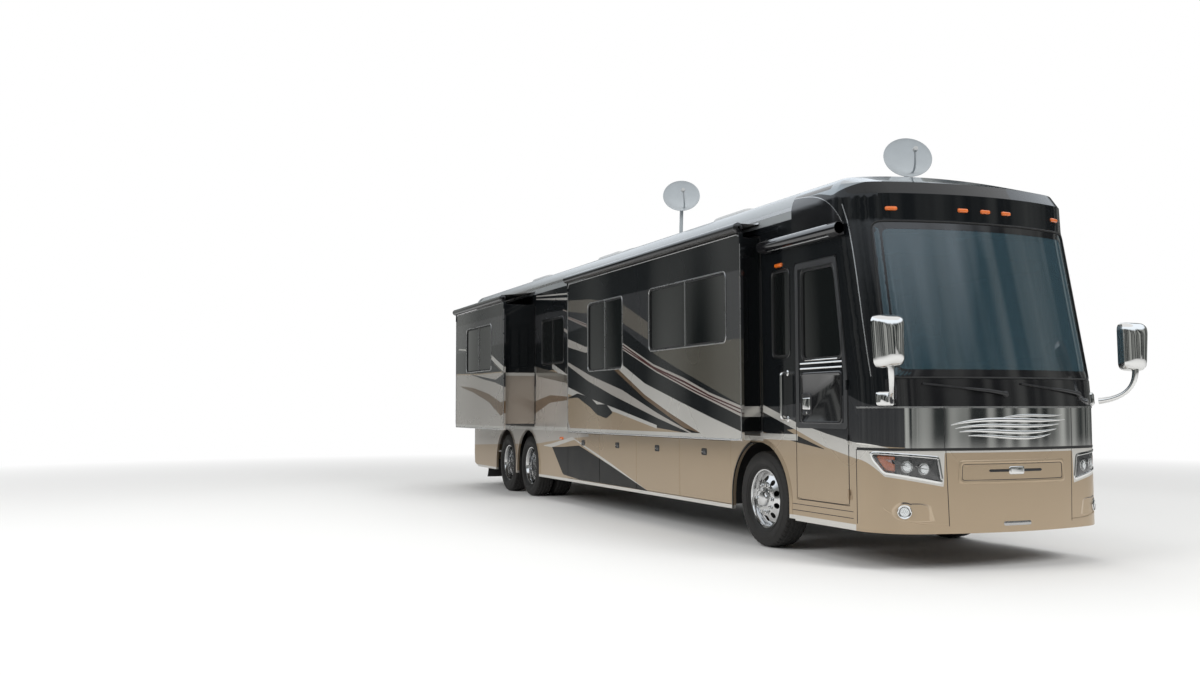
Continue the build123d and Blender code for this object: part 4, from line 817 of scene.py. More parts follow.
ribs = []
for a, b, c, d, wide in RIBS:
    line = bezier(a, b, c, d, 40)
    slope = np.gradient(line, axis=0)
    sideways = np.stack([-slope[:, 1], slope[:, 0]], -1) / np.linalg.norm(slope, axis=1)[:, None]
    swell = np.sin(np.linspace(0.02, 0.98, 40) * math.pi) ** 0.7 * wide
    rows = []
    for turn in np.linspace(0, math.pi, 9):
        flat = line + sideways * (math.cos(turn) * swell)[:, None]
        rows.append(on_nose(flat, math.sin(turn) * swell * 0.7))
    ribs.append(skin(np.stack(rows, 1), wrap=False, ends=False))
put_mesh("band_relief", *joined(ribs), CHROME, core=BODY_CORE)
seams = []
for x in (-0.72, 0.72):
    line = on_nose(np.stack([np.full(12, x), np.linspace(1.08, 1.438, 12)], -1))
    seams.append(carried(line, oblong(-0.003, -0.002, 0.003, 0.0012), nose_normal(line)))
put_mesh("band_seams", *joined(seams), SEAL)
BAND_LINES = (("band_lower_line", 1.072, 0.012, 0.003, SEAL), ("band_upper_line", 1.443, 0.008, 0.006, ALLOY_TRIM))
for name, z, high, proud, finish in BAND_LINES:
    line = nose_skin(np.linspace(-1.56, 1.56, 80), z)
    flat = flat_bar(high, -0.002, proud)
    put_mesh(name, *carried(line, flat, nose_normal(line)), finish)

# %% [markdown]
# A headlamp is a dark housing with a bright bezel, two projector lenses, an amber side lamp and a
# clear cover. The housing is rings that step back from the skin, and each lens is turned.

# %% Headlamps and fog lamps
# The fog lamps sit in shallow pockets that are not cut into the nose. Their shade is painted: a dark patch beside each
# lamp that fades to the champagne paint away from it, a painted shadow.
FOG_SHADOW_PATCH = Finish("fog_pocket", (0.03, 0.028, 0.026), roughness=0.4, Coat_Weight=0.4).mottle(8, 0.1, 0.05)
wide = abs(FOG_SHADOW_PATCH.x)
shade = wide.below(0.915, 0.11).most(wide.above(1.09, 0.02)).most(FOG_SHADOW_PATCH.z.below(0.475, 0.05))
FOG_SHADOW_PATCH.feed("Base Color", FOG_SHADOW_PATCH.blend((0.030, 0.027, 0.024), CHAMPAGNE, shade))
HEADLAMP = [(0.746, 0.778), (1.194, 0.866), (1.240, 0.968), (1.258, 1.044), (0.779, 1.000)]


def mirrored(outline, side):
    """An outline on the other side: x changes sign and the order turns round."""
    outline = np.asarray(outline, dtype=float) * (side, 1.0)
    return outline if side > 0 else outline[::-1]


def nose_turned(profile, x, z, sides=28):
    """A profile turned about the nose's outward direction at a front view place."""
    centre = on_nose([x, z])
    return turned(profile, centre, nose_normal(centre), sides)


LENS_PLACES = ((0.905, 0.900), (1.045, 0.918))
LENS_RING = [(-0.031, 0.060), (-0.012, 0.062), (-0.009, 0.058), (-0.020, 0.047)]
LENS_DOME = [(-0.026, 0.046), (-0.016, 0.043), (-0.008, 0.030), (-0.005, 0.012), (-0.0045, 0.002)]
SIDE_LENS = [(1.130, 0.875), (1.190, 0.888), (1.222, 0.968), (1.236, 1.020), (1.130, 1.010)]
LAMP_BEZEL = [(-0.015, -0.003), (-0.012, 0.004), (0.005, 0.006), (0.013, 0.001), (0.013, -0.004)]
FOG_X, FOG_Z, FOG_POCKET_RADIUS = 1.07, 0.528, 0.085
FOG_BEZEL = [(-0.01, 0.060), (0.008, 0.062), (0.012, 0.056), (0.007, 0.047),
             (0.0045, 0.034), (0.0035, 0.015), (0.0033, 0.002)]
FOG_GLASS = [(0.0075, 0.046), (0.010, 0.043), (0.013, 0.032), (0.015, 0.014), (0.0155, 0.002)]


def sunk_on_nose(flat, up):
    """A place on the nose for the amber lens, which stands inside the housing."""
    return on_nose(flat, up - 0.028)


for side, word in SIDES:
    corners = mirrored(HEADLAMP, side)
    lines = nested(corners, 0.022, (0.0, 0.014, 0.05, 0.09), 0.014)
    steps_in = (0.001, -0.010, -0.029, -0.031, -0.031)
    rings = [on_nose(line, out) for line, out in zip(lines[:2] + lines[1:], steps_in)]
    housing = put_mesh("headlamp_housing_" + word, *skin(rings, ends="last"), SATIN_BLACK, core=BODY_CORE)
    line = on_nose(lines[0])
    put_mesh("headlamp_bezel_" + word, *carried(line, LAMP_BEZEL, nose_normal(line), loop=True), CHROME)
    for name, profile, finish in (("rings", LENS_RING, CHROME), ("lenses", LENS_DOME, CLEAR_LENS)):
        lamps = [nose_turned(profile, side * x, z) for x, z in LENS_PLACES]
        put_mesh(f"headlamp_{name}_{word}", *joined(lamps), finish)
    amber = lens(sunk_on_nose, mirrored(SIDE_LENS, side), 0.012, 0.016)
    put_mesh("headlamp_amber_" + word, *amber, AMBER)
    cover = [on_nose(line, out) for line, out in zip(lines, (-0.006, -0.003, -0.001, 0.0))]
    put_mesh("headlamp_cover_" + word, *skin(cover, ends="last"), CLEAR_LENS, core=BODY_CORE)
    if side == RIGHT:
        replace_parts(housing, "headlamps")
    # The painted shadow of each fog lamp's pocket: an arc round the lamp and a tail towards the middle, laid just proud
    # of the nose.
    arc = np.linspace(math.radians(60), math.radians(270), 25)
    shadow_patch = np.stack([FOG_X - FOG_POCKET_RADIUS * np.cos(arc), FOG_Z + FOG_POCKET_RADIUS * np.sin(arc)], -1)[::-1]
    tail = [bezier(shadow_patch[-1], (0.94, 0.606), (0.86, 0.600), (0.850, 0.570), 10)[1:]]
    tail.append(bezier((0.850, 0.570), (0.835, 0.500), (0.825, 0.470), (0.815, 0.447), 10)[1:])
    tail.append(bezier((0.815, 0.447), (0.90, 0.436), (1.00, 0.440), shadow_patch[0], 10)[1:-1])
    shadow_patch = mirrored(np.concatenate([shadow_patch, *tail]), side)
    centre = np.array([side * 1.0, 0.520])
    shares = ((1.0, 0.0006), (0.965, 0.0030), (0.91, 0.0010))
    rings = [on_nose(centre + (shadow_patch - centre) * share, out) for share, out in shares]
    put_mesh("fog_pocket_" + word, *skin(rings, ends="last"), FOG_SHADOW_PATCH, core=BODY_CORE)
    put_mesh("fog_bezel_" + word, *nose_turned(FOG_BEZEL, side * FOG_X, FOG_Z), CHROME)
    put_mesh("fog_lens_" + word, *nose_turned(FOG_GLASS, side * FOG_X, FOG_Z), CLEAR_LENS)
print("headlamp and fog lamp pieces on each side: 9")

# %% [markdown]
# The sides are flat, round into the nose at the front and into the roof above. Trim on them is
# given by station and height, and this function finds the skin's point for it.

# %% The skin of the sides
ROOF_CORNER = 0.23
ROOF_BOW = (HALF**2 + 0.1**2) / 0.2
CORNER_X = HALF - ROOF_CORNER
CORNER_Z = CROWN - ROOF_BOW + math.sqrt((ROOF_BOW - ROOF_CORNER) ** 2 - CORNER_X**2)
LONG_WAY = np.linspace(0, 16, 6401)
LONG_STATION = nose_skin(LONG_WAY, 1.0)[:, 1] - NOSE_Y


def roof_x(z, out=0.0):
    """The half width at a height: upright, then round the roof corner, then over the bowed crown."""
    z = np.asarray(z, dtype=float)
    corner = CORNER_X + np.sqrt(np.maximum((ROOF_CORNER + out) ** 2 - np.maximum(z - CORNER_Z, 0) ** 2, 0))
    return np.where(z > CORNER_Z, corner, HALF + out)


def on_side(outline, side, out=0.0):
    """Points of (station, height) laid on the body's side, its nose corner and its roof corner."""
    outline = np.asarray(outline, dtype=float)
    station, z = outline[..., 0], outline[..., 1]
    along = np.interp(station - np.interp(z, LEAN_HEIGHTS, LEAN_BACK), LONG_STATION, LONG_WAY)
    points = nose_skin(side * along, z, out)
    points[..., 0] = side * np.minimum(np.abs(points[..., 0]), roof_x(z, out))
    return points


def side_normal(outline, side):
    """The outward direction of the side's skin, from its slopes."""
    step = np.array([0.01, 0.0]), np.array([0.0, 0.01])
    run = on_side(outline + step[0], side) - on_side(outline - step[0], side)
    rise = on_side(outline + step[1], side) - on_side(outline - step[1], side)
    normal = np.cross(run, rise) * -side
    return normal / np.linalg.norm(normal, axis=-1)[..., None]


def on_wall(outline, side, out=0.0):
    """Points of (station, height) on a flat panel that stands out from the wall."""
    outline = np.asarray(outline, dtype=float)
    x = np.full(outline.shape[:-1], side * (HALF + out))
    return np.stack([x, at(outline[..., 0]), outline[..., 1]], -1)


def evenly(points, step):
    """An open flat line with points at even distances along it."""
    points = np.asarray(points, dtype=float)
    places = np.concatenate([[0], np.cumsum(np.linalg.norm(np.diff(points, axis=0), axis=1))])
    even = np.linspace(0, places[-1], max(int(places[-1] / step), 8))
    return np.stack([np.interp(even, places, points[:, i]) for i in range(2)], -1)


def side_strip(name, points, side, profile, finish, step=0.06):
    """A trim strip carried along a line of (station, height) points on the side's skin."""
    line = evenly(points, step)
    return put_mesh(name, *carried(on_side(line, side), profile, side_normal(line, side)), finish)


print("roof corner begins at height", round(CORNER_Z, 3))

# %% [markdown]
# Each window has a thin bright frame, a black rim inside it, and a bar where its sliding pane
# begins. The table gives the body that a window rides on, its side, how far its panel stands out,
# its edges, and the stations of its bars.

# %% Window frames
WINDOWS = [
    ("coach", LEFT, 0.0, 0.960, 1.600, 1.950, 2.840, 0.07, ()),
    ("coach", RIGHT, 0.0, 1.720, 2.060, 1.950, 2.840, 0.06, ()),
    ("coach", RIGHT, 0.0, 8.360, 9.400, 2.150, 2.870, 0.07, (8.88,)),
    ("coach", LEFT, 0.0, 1.760, 2.600, 1.950, 2.840, 0.06, (2.18,)),
    ("slide_right_front", RIGHT, 0.250, 2.600, 4.600, 2.140, 2.900, 0.07, (3.60,)),
    ("slide_right_front", RIGHT, 0.250, 5.440, 6.680, 1.960, 2.900, 0.07, (6.06,)),
    ("slide_right_rear", RIGHT, 0.545, 10.450, 12.050, 2.100, 2.880, 0.07, (11.25,)),
    ("slide_left", LEFT, 0.545, 3.300, 4.900, 2.100, 2.880, 0.07, (4.10,)),
    ("slide_left", LEFT, 0.545, 6.000, 7.200, 2.100, 2.880, 0.07, (6.60,)),
    ("slide_left", LEFT, 0.545, 9.900, 11.500, 2.100, 2.880, 0.07, (10.70,)),
]
FRAME_SECTION = [(-0.008, -0.002), (-0.008, 0.005), (-0.004, 0.009), (0.004, 0.009), (0.007, 0.004), (0.007, -0.002)]
DARK_TRIM = Finish("dark_anodised_trim", (0.11, 0.11, 0.11), 1.0, 0.30).mottle(4, 0.08, 0.06, 400, 0.05)
RIM_SECTION = [(-0.018, -0.012), (-0.018, 0.001), (0.014, 0.001), (0.014, -0.012)]
BAR_SECTION = [(-0.011, -0.012), (-0.011, 0.000), (-0.006, 0.004), (0.006, 0.004), (0.011, 0.000), (0.011, -0.012)]


def framed(name, corners, radius, place, outward, body, finish=ALLOY_TRIM):
    """A bright frame and a black rim round an opening."""
    edge, inner = nested(corners, radius, (0.0, 0.012), 0.03)
    put_mesh(name + "_frame", *carried(place(edge), FRAME_SECTION, outward, loop=True), finish, body)
    put_mesh(name + "_rim", *carried(place(inner), RIM_SECTION, outward, loop=True), SEAL, body)


for number, (body, side, out, s0, s1, z0, z1, radius, bars) in enumerate(WINDOWS):
    def place(line, side=side, out=out):
        return on_wall(line, side, out)
    name = f"window_{number + 1}"
    trim = DARK_TRIM if body == "coach" else ALLOY_TRIM
    framed(name, oblong(s0, z0, s1, z1), radius, place, (side, 0, 0), body, trim)
    strips = []
    for station in bars:
        strips.append(carried(place([(station, z0 + 0.01), (station, z1 - 0.01)]), BAR_SECTION, (side, 0, 0)))
    if strips:
        put_mesh(name + "_bar", *joined(strips), trim, body)
print("windows", len(WINDOWS))

# %% [markdown]
# Slide-out rooms have a bright corner bead round the outer panel, and a rubber wiper seal where
# the body passes the wall. A rolled cover over each room keeps the rain off its roof: cloth runs
# from a rail on the wall to the spring roller.

# %% Slide-out trim and their covers
COVER_CLOTH = Finish("cover_cloth", (0.30, 0.30, 0.30), roughness=0.8).mottle(3, 0.15, 0.08, 420, 0.3)


def roll_cloth(name, centre_z):
    """The rolled cloth shows a pale upper band, which is a painted highlight on the black roll, and a copper-brown
    lower one, with a black line between.
    """
    cloth = Finish(name, (0.05, 0.05, 0.05), 0.2, 0.45)
    lower = cloth.z.between(centre_z - 0.036, centre_z - 0.006)
    brown = cloth.blend((0.012, 0.012, 0.012), (0.135, 0.076, 0.050), lower)
    # Painted highlight: the top of the roll is made pale where light falls on it.
    tone = cloth.blend(brown, (0.36, 0.39, 0.41), cloth.z.above(centre_z + 0.010))
    grime = cloth.blend(tone, (0.10, 0.09, 0.08), cloth.noise(2.5, 4.0, (1.0, 0.3, 1.0)) * 0.35)
    cloth.feed("Base Color", grime)
    cloth.feed("Roughness", cloth.noise(6.0, 3.0) * 0.2 + 0.32)
    cloth.relief(cloth.noise(420.0, 2.0), 0.2, 0.0004)
    return cloth


BEAD = [(-0.007, -0.002), (-0.007, 0.004), (0.0, 0.007), (0.007, 0.004), (0.007, -0.002)]
FLAP = [(-0.002, -0.002), (-0.028, -0.001), (-0.030, 0.002), (-0.004, 0.003)]
RAIL = [(-0.016, -0.002), (-0.016, 0.006), (0.0, 0.016), (0.016, 0.012), (0.016, -0.002)]
ROLL_END = [(0.0, 0.004), (0.0, 0.040), (0.006, 0.052), (0.030, 0.0555), (0.040, 0.050), (0.040, 0.004)]
RAIL_Z = 3.375

for body, side, out, s0, s1, top in ROOMS:
    corners = oblong(s0 + 0.012, 1.112, s1 - 0.012, top - 0.012)
    edge = dense(rounded(corners, 0.015, 4), 0.1)
    put_mesh(body + "_bead", *carried(on_wall(edge, side, out), BEAD, (side, 0, 0), loop=True), ALLOY_TRIM, body)
    corners = oblong(s0 + 0.044, 1.20, s1 - 0.044, top - 0.044)
    edge = dense(rounded(shrunk(corners, -0.006), 0.02, 4), 0.1)
    put_mesh(body + "_seal", *carried(on_wall(edge, side), FLAP, (side, 0, 0), loop=True), SEAL)
    roller_x, roller_z, radius = HALF + out + 0.022, top + 0.053, 0.0545
    reach = roller_x - HALF
    drop = np.linspace(0, 1, 9)
    across = HALF + 0.008 + drop * (reach - 0.01)
    height = RAIL_Z + (roller_z + radius - RAIL_Z) * drop - 0.002 * np.sin(drop * math.pi)
    along = np.linspace(s0 + 0.06, s1 - 0.06, 40)
    wave = 0.0004 * np.sin(along * 9.0)
    cloth = np.stack(np.broadcast_arrays(side * across[:, None], at(along)[None], height[:, None] + wave[None]), -1)
    wide, deep = s1 - s0 - 0.12, float(np.hypot(np.diff(across), np.diff(height)).sum())
    piece = put_mesh(body + "_cover", *skin(cloth, wrap=False, ends=False), COVER_CLOTH, core=BODY_CORE)
    body + "_travel"
    side * HALF
    at(s0)
    (reach - out + 0.035) / reach
    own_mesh(piece)
    roll = [(s0 + 0.03, 0.049), (s0 + 0.03, 0.053), (s1 - 0.03, 0.053), (s1 - 0.03, 0.049)]
    band = turned([(s - s0, r) for s, r in roll], (side * roller_x, at(s0), roller_z), (0, 1, 0), 24)
    put_mesh(body + "_roll", *band, roll_cloth(body + "_roll_cloth", roller_z), body)
    caps = []
    for station, way in ((s0, 1), (s1, -1)):
        caps.append(turned(ROLL_END, (side * roller_x, at(station), roller_z), (0, way, 0), 20))
    put_mesh(body + "_roll_ends", *joined(caps), GLOSS_BLACK, body)
    line = on_wall([(s0 + 0.03, RAIL_Z), (s1 - 0.03, RAIL_Z)], side)
    put_mesh(body + "_rail", *carried(line, RAIL, (side, 0, 0)), ALLOY_TRIM)
print("rooms", len(ROOMS))

# %% [markdown]
# The entry door has a dark frame round its upper part, a framed window that follows the sloped
# front edge, a recessed gloss panel under the window, and a paddle latch in a cup.

# %% Entry door
CHARCOAL_TRIM = Finish("charcoal_trim", (0.030, 0.031, 0.033), roughness=0.32, Coat_Weight=0.5).mottle(6, 0.15, 0.06)
DOOR_FRAME = [(0.7285, 1.245), (1.612, 1.245), (1.612, 2.862), (0.888, 2.862), (0.7285, 1.752)]
DOOR_WINDOW = [(0.800, 1.900), (1.500, 1.900), (1.500, 2.800), (0.930, 2.800), (0.800, 2.250)]


def on_door(line, out=0.0):
    return on_wall(line, RIGHT, out)


outer, inner = nested(DOOR_FRAME, 0.03, (0.0, 0.055), 0.03)
rings = [on_door(line, out) for line, out in ((outer, 0.0005), (outer, 0.005), (inner, 0.005), (inner, 0.0005))]
put_mesh("door_frame", *skin(rings, ends=False), CHARCOAL_TRIM, "entry_door", core=(-1.0, at(1.2), 2.0))
framed("door_window", DOOR_WINDOW, 0.07, on_door, (-1, 0, 0), "entry_door", DARK_TRIM)
sill_line = on_door([(0.87, 1.902), (1.43, 1.902)], 0.006)
put_mesh("door_window_sill", *carried(sill_line, scaled(BEAD, 0.7), (-1, 0, 0)), CHROME, "entry_door")
steps = [(0.0, 0.0008), (0.008, 0.006), (0.022, 0.006), (0.030, 0.0010)]
rings = stepped(on_door, oblong(0.815, 1.285, 1.530, 1.785), 0.035, steps, 0.03)
put_mesh("door_panel", *skin(rings, ends="last"), GLOSS_BLACK, "entry_door", core=(-1.0, at(1.2), 1.5))
bars = []
for z in (1.822, 1.872):
    bars.append(carried(on_door([(0.805, z), (1.53, z)]), BEAD, (-1, 0, 0)))
put_mesh("door_bars", *joined(bars), CHROME, "entry_door")
steps = [(0.0, 0.002), (0.010, 0.010), (0.016, 0.004)]
rings = stepped(on_door, oblong(1.330, 1.370, 1.510, 1.585), 0.03, steps, 0.02)
put_mesh("latch_cup", *skin(rings, ends="last"), SATIN_BLACK, "entry_door", core=(-1.0, at(1.4), 1.5))
paddle = lens(on_door, oblong(1.352, 1.420, 1.486, 1.545), 0.018, 0.018)
put_mesh("latch_paddle", *paddle, CHROME, "entry_door")
key = [(0, 0.012), (0.006, 0.012), (0.009, 0.009), (0.009, 0.001)]
key_place = (-(HALF + 0.002), at(1.42), 1.392)
put_mesh("latch_key", *turned(key, key_place, (-1, 0, 0), 20), CHROME, "entry_door")
DOOR_EDGE = [(0.7235, 0.5555), (1.6165, 0.5555), (1.6165, 2.8665), (0.8815, 2.8665), (0.7235, 1.7505)]
door_edge = dense(rounded(DOOR_EDGE, 0.01, 3), 0.1)
seal_section = [(-0.004, -0.010), (-0.004, 0.001), (0.001, 0.0015), (0.001, -0.010)]
put_mesh("door_seal", *carried(on_door(door_edge), seal_section, (-1, 0, 0), loop=True), SEAL, "entry_door")

# %% [markdown]
# A chrome grab handle stands beside the door: a tube whose ends bend back to round foot plates.
# Amber marker lamps sit over it, low in the middle of the body and high near the tail.

# %% Grab handle and side lamps
HANDLE_STATION, HANDLE_LOW, HANDLE_HIGH = 1.775, 1.33, 1.79
corners = oblong(HALF + 0.002, HANDLE_LOW, HALF + 0.075, HANDLE_HIGH)
handle_line = rounded(corners, [0.001, 0.04, 0.04, 0.001], 8)[8:-8]
handle_line = np.concatenate([[(HALF + 0.001, HANDLE_LOW)], handle_line, [(HALF + 0.001, HANDLE_HIGH)]])
handle_path = np.stack([-handle_line[:, 0], np.full(len(handle_line), at(HANDLE_STATION)), handle_line[:, 1]], -1)
put_mesh("grab_handle", *carried(handle_path, circle(0.015, 14), (0, -1, 0)), CHROME)
foot = [(0, 0.030), (0.004, 0.030), (0.010, 0.022), (0.010, 0.001)]
feet = [turned(foot, (-HALF, at(HANDLE_STATION), z), (-1, 0, 0), 24) for z in (HANDLE_LOW, HANDLE_HIGH)]
put_mesh("grab_handle_feet", *joined(feet), CHROME)
side_lamps = []
for side in (RIGHT, LEFT):
    for station, z in ((1.92, 2.893), (13.0, 3.05), (8.45, 0.99)):
        corners = oblong(station - 0.07, z - 0.022, station + 0.07, z + 0.022)
        side_lamps.append(lens(lambda line, out, side=side: on_wall(line, side, out), corners, 0.018, 0.020))
put_mesh("side_marker_lamps", *joined(side_lamps), AMBER, core=None)
print("side lamps", len(side_lamps))

# %% [markdown]
# The door awning is a long case with a round front, wider caps at its ends and two bright lines
# along it.

# %% Door awning
AWNING_Z = 3.105
AWNING_FRONT, AWNING_REAR = 0.90, 2.06
case_turn = np.linspace(-math.pi / 2, math.pi / 2, 13)
case_profile = np.stack([0.055 * np.sin(case_turn), 0.052 + 0.050 * np.cos(case_turn)], -1)
case_profile = np.concatenate([[(0.055, 0.001)], case_profile[::-1], [(-0.055, 0.001)]])
line = on_wall([(AWNING_FRONT, AWNING_Z), (AWNING_REAR, AWNING_Z)], RIGHT)
put_mesh("door_awning_case", *carried(line, case_profile, (-1, 0, 0)), GLOSS_BLACK)
for name, s0, s1 in (("front", 0.74, 0.905), ("rear", 2.055, 2.19)):
    cap_profile = case_profile * (1.07, 1.04)
    line = on_wall([(s0, AWNING_Z), (s1, AWNING_Z)], RIGHT)
    put_mesh("door_awning_cap_" + name, *carried(line, cap_profile, (-1, 0, 0)), SATIN_BLACK)
lines = []
for z, out in ((AWNING_Z + 0.045, 0.080), (AWNING_Z - 0.052, 0.055)):
    lines.append(carried(on_wall([(AWNING_FRONT, z), (AWNING_REAR, z)], RIGHT, out), BEAD, (-1, 0, 0)))
put_mesh("door_awning_lines", *joined(lines), ALLOY_TRIM)
print("door awning", round(AWNING_REAR - AWNING_FRONT, 2), "m long")

# %% [markdown]
# Over the awning a black quarter glass runs into the roof corner under a bright arc, and a bright
# line comes down the front pillar. Gutter rails close the joint of roof and wall, and rolled lips
# close the wheel arches.

# %% Quarter glass, arcs, gutters and arches
ARC = bezier((1.66, 3.53), (1.18, 3.50), (0.93, 3.42), (0.79, 3.148), 24)
GUTTER = [(-0.020, -0.002), (-0.022, 0.012), (-0.010, 0.020), (0.006, 0.012), (0.018, 0.006), (0.018, -0.002)]
AXLES = {"front": 2.340, "drive": 10.100, "tag": 11.340}
TYRE_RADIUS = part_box("front_tyre_right")[1].z / 2
ARCH_RADIUS = 0.59
ARCH_LIP = [(0.004, -0.028), (-0.003, -0.026), (-0.004, 0.009), (0.003, 0.014), (0.012, 0.012)]
# Over this height a lip lies flatter, so that the rooms pass it
UNDER_ROOMS = 1.08
QUARTER_LOW = np.stack([np.linspace(1.66, 0.79, 24), np.full(24, 3.170)], -1)
for side, word in SIDES:
    rows = [QUARTER_LOW * (1 - t) + ARC * t for t in np.linspace(0, 1, 9)]
    patch = on_side(np.stack(rows), side, 0.0025)
    put_mesh("quarter_glass_" + word, *skin(patch, wrap=False, ends=False), GLOSS_BLACK, core=BODY_CORE)
    side_strip("roof_arc_" + word, ARC, side, BEAD, ALLOY_TRIM, 0.03)
    pillar = bezier((0.80, 3.34), (0.66, 3.00), (0.56, 2.30), (0.42, 1.72), 40)
    side_strip("pillar_line_" + word, pillar, side, scaled(BEAD, 0.7), ALLOY_TRIM, 0.03)
    side_strip("roof_gutter_" + word, [(1.66, 3.430), (13.10, 3.430)], side, GUTTER, ALLOY_TRIM, 0.3)
    arches = []
    for station, lip in ((AXLES["front"], 0.040), (AXLES["drive"], 0.026), (AXLES["tag"], 0.026)):
        turn = np.linspace(math.pi, 0, 41)
        line = np.stack([station + ARCH_RADIUS * np.cos(turn), TYRE_RADIUS + ARCH_RADIUS * np.sin(turn)], -1)
        first, last = (station - ARCH_RADIUS, SKIRT_LOW + 0.002), (station + ARCH_RADIUS, SKIRT_LOW + 0.002)
        section = scaled([*ARCH_LIP, (lip, 0.002), (lip, -0.002)], -side)
        arches.append(carried(on_wall(np.concatenate([[first], line, [last]]), side), section, (side, 0, 0)))
    points, faces = joined(arches)
    high = points[:, 2] > UNDER_ROOMS
    points[high, 0] = side * np.minimum(side * points[high, 0], HALF + 0.003)
    put_mesh("arch_lips_" + word, points, faces, COACH_PAINT, core=None)
print("arch lips and gutters on both sides")

# %% [markdown]
# The mirrors are tall chrome shells on bent arms. A shell is a rounded outline whose rings shrink
# on a quarter ellipse towards the front, with the dark-backed glass set into its rear face.

# %% Mirrors
MIRROR_GLASS = Finish("mirror_glass", (0.62, 0.64, 0.65), 1.0, 0.02).mottle(2, 0.02, 0.01)
HEAD = [(1.232, 1.790), (1.500, 1.772), (1.532, 2.235), (1.226, 2.238)]
# Each ring of the shell: how far it is drawn in, and where it stands along the vehicle
HEAD_STEPS = [(0.020, 0.010), (0.0, 0.004), (0.0, -0.030), (0.006, -0.065),
              (0.020, -0.095), (0.042, -0.118), (0.072, -0.135), (0.105, -0.143)]
MIRROR_ARM = ((1.180, 0.200, 1.500), (1.30, 0.05, 1.52), (1.37, -0.07, 1.60), (1.375, -0.062, 1.80))


def at_depth(line, y):
    """Points of (x, height) set at a distance along the vehicle from the nose."""
    return np.stack([line[:, 0], np.full(len(line), NOSE_Y + y), line[:, 1]], -1)


for side, word in SIDES:
    shell = stepped(at_depth, mirrored(HEAD, side), 0.075, HEAD_STEPS, 0.012)
    head = put_mesh("mirror_shell_" + word, *skin(shell), CHROME)
    if side == RIGHT:
        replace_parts(head, "mirrors")
    ahead_of_glass = (side * 1.38, NOSE_Y - 0.2, 2.0)
    for name, z0, z1 in (("tall", 1.905, 2.212), ("wide", 1.797, 1.893)):
        glass = mirrored([(1.252, z0), (1.500, z0), (1.512, z1), (1.248, z1)], side)
        rings = stepped(at_depth, glass, 0.03, [(0.0, 0.0105), (0.006, 0.014)], 0.02)
        put_mesh(f"mirror_glass_{name}_{word}", *skin(rings, ends="last"), MIRROR_GLASS, core=ahead_of_glass)
    path = bezier(*[(side * x, NOSE_Y + y, z) for x, y, z in MIRROR_ARM], 24)
    sweep = 0.030 - 0.008 * np.sin(np.linspace(0, math.pi, 24))
    ahead = np.gradient(path, axis=0)
    ahead /= np.linalg.norm(ahead, axis=1)[:, None]
    first = np.cross(ahead, (side * 0.3, 1.0, 0.2))
    first /= np.linalg.norm(first, axis=1)[:, None]
    second = np.cross(ahead, first)
    ring = circle(1.0, 16)
    around = ring[None, :, :1] * first[:, None] + ring[None, :, 1:] * second[:, None]
    put_mesh("mirror_arm_" + word, *skin(path[:, None] + around * sweep[:, None, None]), CHROME)
    foot = mirrored(oblong(1.125, 1.455, 1.222, 1.585), side)
    steps = [(0.0, -0.004), (0.0, 0.014), (0.008, 0.026), (0.022, 0.034)]
    put_mesh("mirror_foot_" + word, *skin(stepped(on_nose, foot, 0.025, steps, 0.01)), CHROME)
print("mirror shell rings", len(HEAD_STEPS))

# %% [markdown]
# The tyres are turned skins with a moulded tread: ribs run round the tyre, and each rib is cut by
# short grooves. The tread is a function of the place across the tyre and round it, so one grid
# holds the sidewall, the shoulder and the tread.

# %% Tyres
WHEEL_X = 1.120
TWIN_X = 0.785
GROUND_GAP = 0.0015
CROWN_RADIUS, TREAD_HALF = 0.4985, 0.124
BEAD_HALF, BEAD_RADIUS = 0.096, 0.294
SIDEWALL = [(0.100, 0.305), (0.118, 0.318), (0.134, 0.345), (0.1445, 0.385),
            (0.1445, 0.410), (0.139, 0.440), (0.132, 0.462), (0.129, 0.470)]
GROOVES = (-0.078, -0.027, 0.027, 0.078)
GROOVE_DEPTH, GROOVE_SLOPE = 0.013, 0.0042
SIPES, SIPE_DEPTH, SHOULDER_CUT = 48, 0.004, 0.007
# Fine moulded rings on the sidewall: radius and how far out from the tyre's middle
RIB_RINGS = ((0.352, 0.1392), (0.425, 0.1440), (0.330, 0.1290))


def tyre_grid(tread_rows=44, around=288):
    """Half-width and radius for each row, with ribs and sipes pressed into the tread rows.
    The radius falls by a smooth step inside each groove, and by a wave of narrow cuts round the tyre."""
    side = np.array(SIDEWALL)
    tread_x = np.linspace(-TREAD_HALF, TREAD_HALF, tread_rows)
    x = np.concatenate([-side[:, 0], tread_x, side[::-1, 0]])
    share = tread_x / TREAD_HALF
    crown = CROWN_RADIUS - 0.006 * share**2 - 0.010 * np.abs(share) ** 8
    base = np.concatenate([side[:, 1], crown, side[::-1, 1]])
    turn = np.linspace(0, 2 * math.pi, around, endpoint=False)
    radius = np.repeat(base[:, None], around, axis=1)
    grooves = np.zeros(tread_rows)
    for middle in GROOVES:
        grooves = np.maximum(grooves, np.clip(1.9 - np.abs(tread_x - middle) / GROOVE_SLOPE, 0, 1))
    shift = np.where(np.abs(tread_x) > 0.08, 0.0, np.sign(tread_x) * 0.5)
    phase = turn[None] * SIPES / math.pi / 2 + shift[:, None] + tread_x[:, None] * 9.0
    cut = np.clip((np.abs((phase % 1.0) - 0.5) - 0.36) / 0.05, 0, 1)
    deepest = np.where(np.abs(tread_x) > 0.085, SHOULDER_CUT, SIPE_DEPTH)
    depth = np.maximum(grooves[:, None] * GROOVE_DEPTH, cut * deepest[:, None])
    rows = slice(len(side), len(side) + tread_rows)
    radius[rows] -= depth
    return x, radius, turn


TREAD_X, TREAD_RADIUS, TREAD_TURN = tyre_grid()


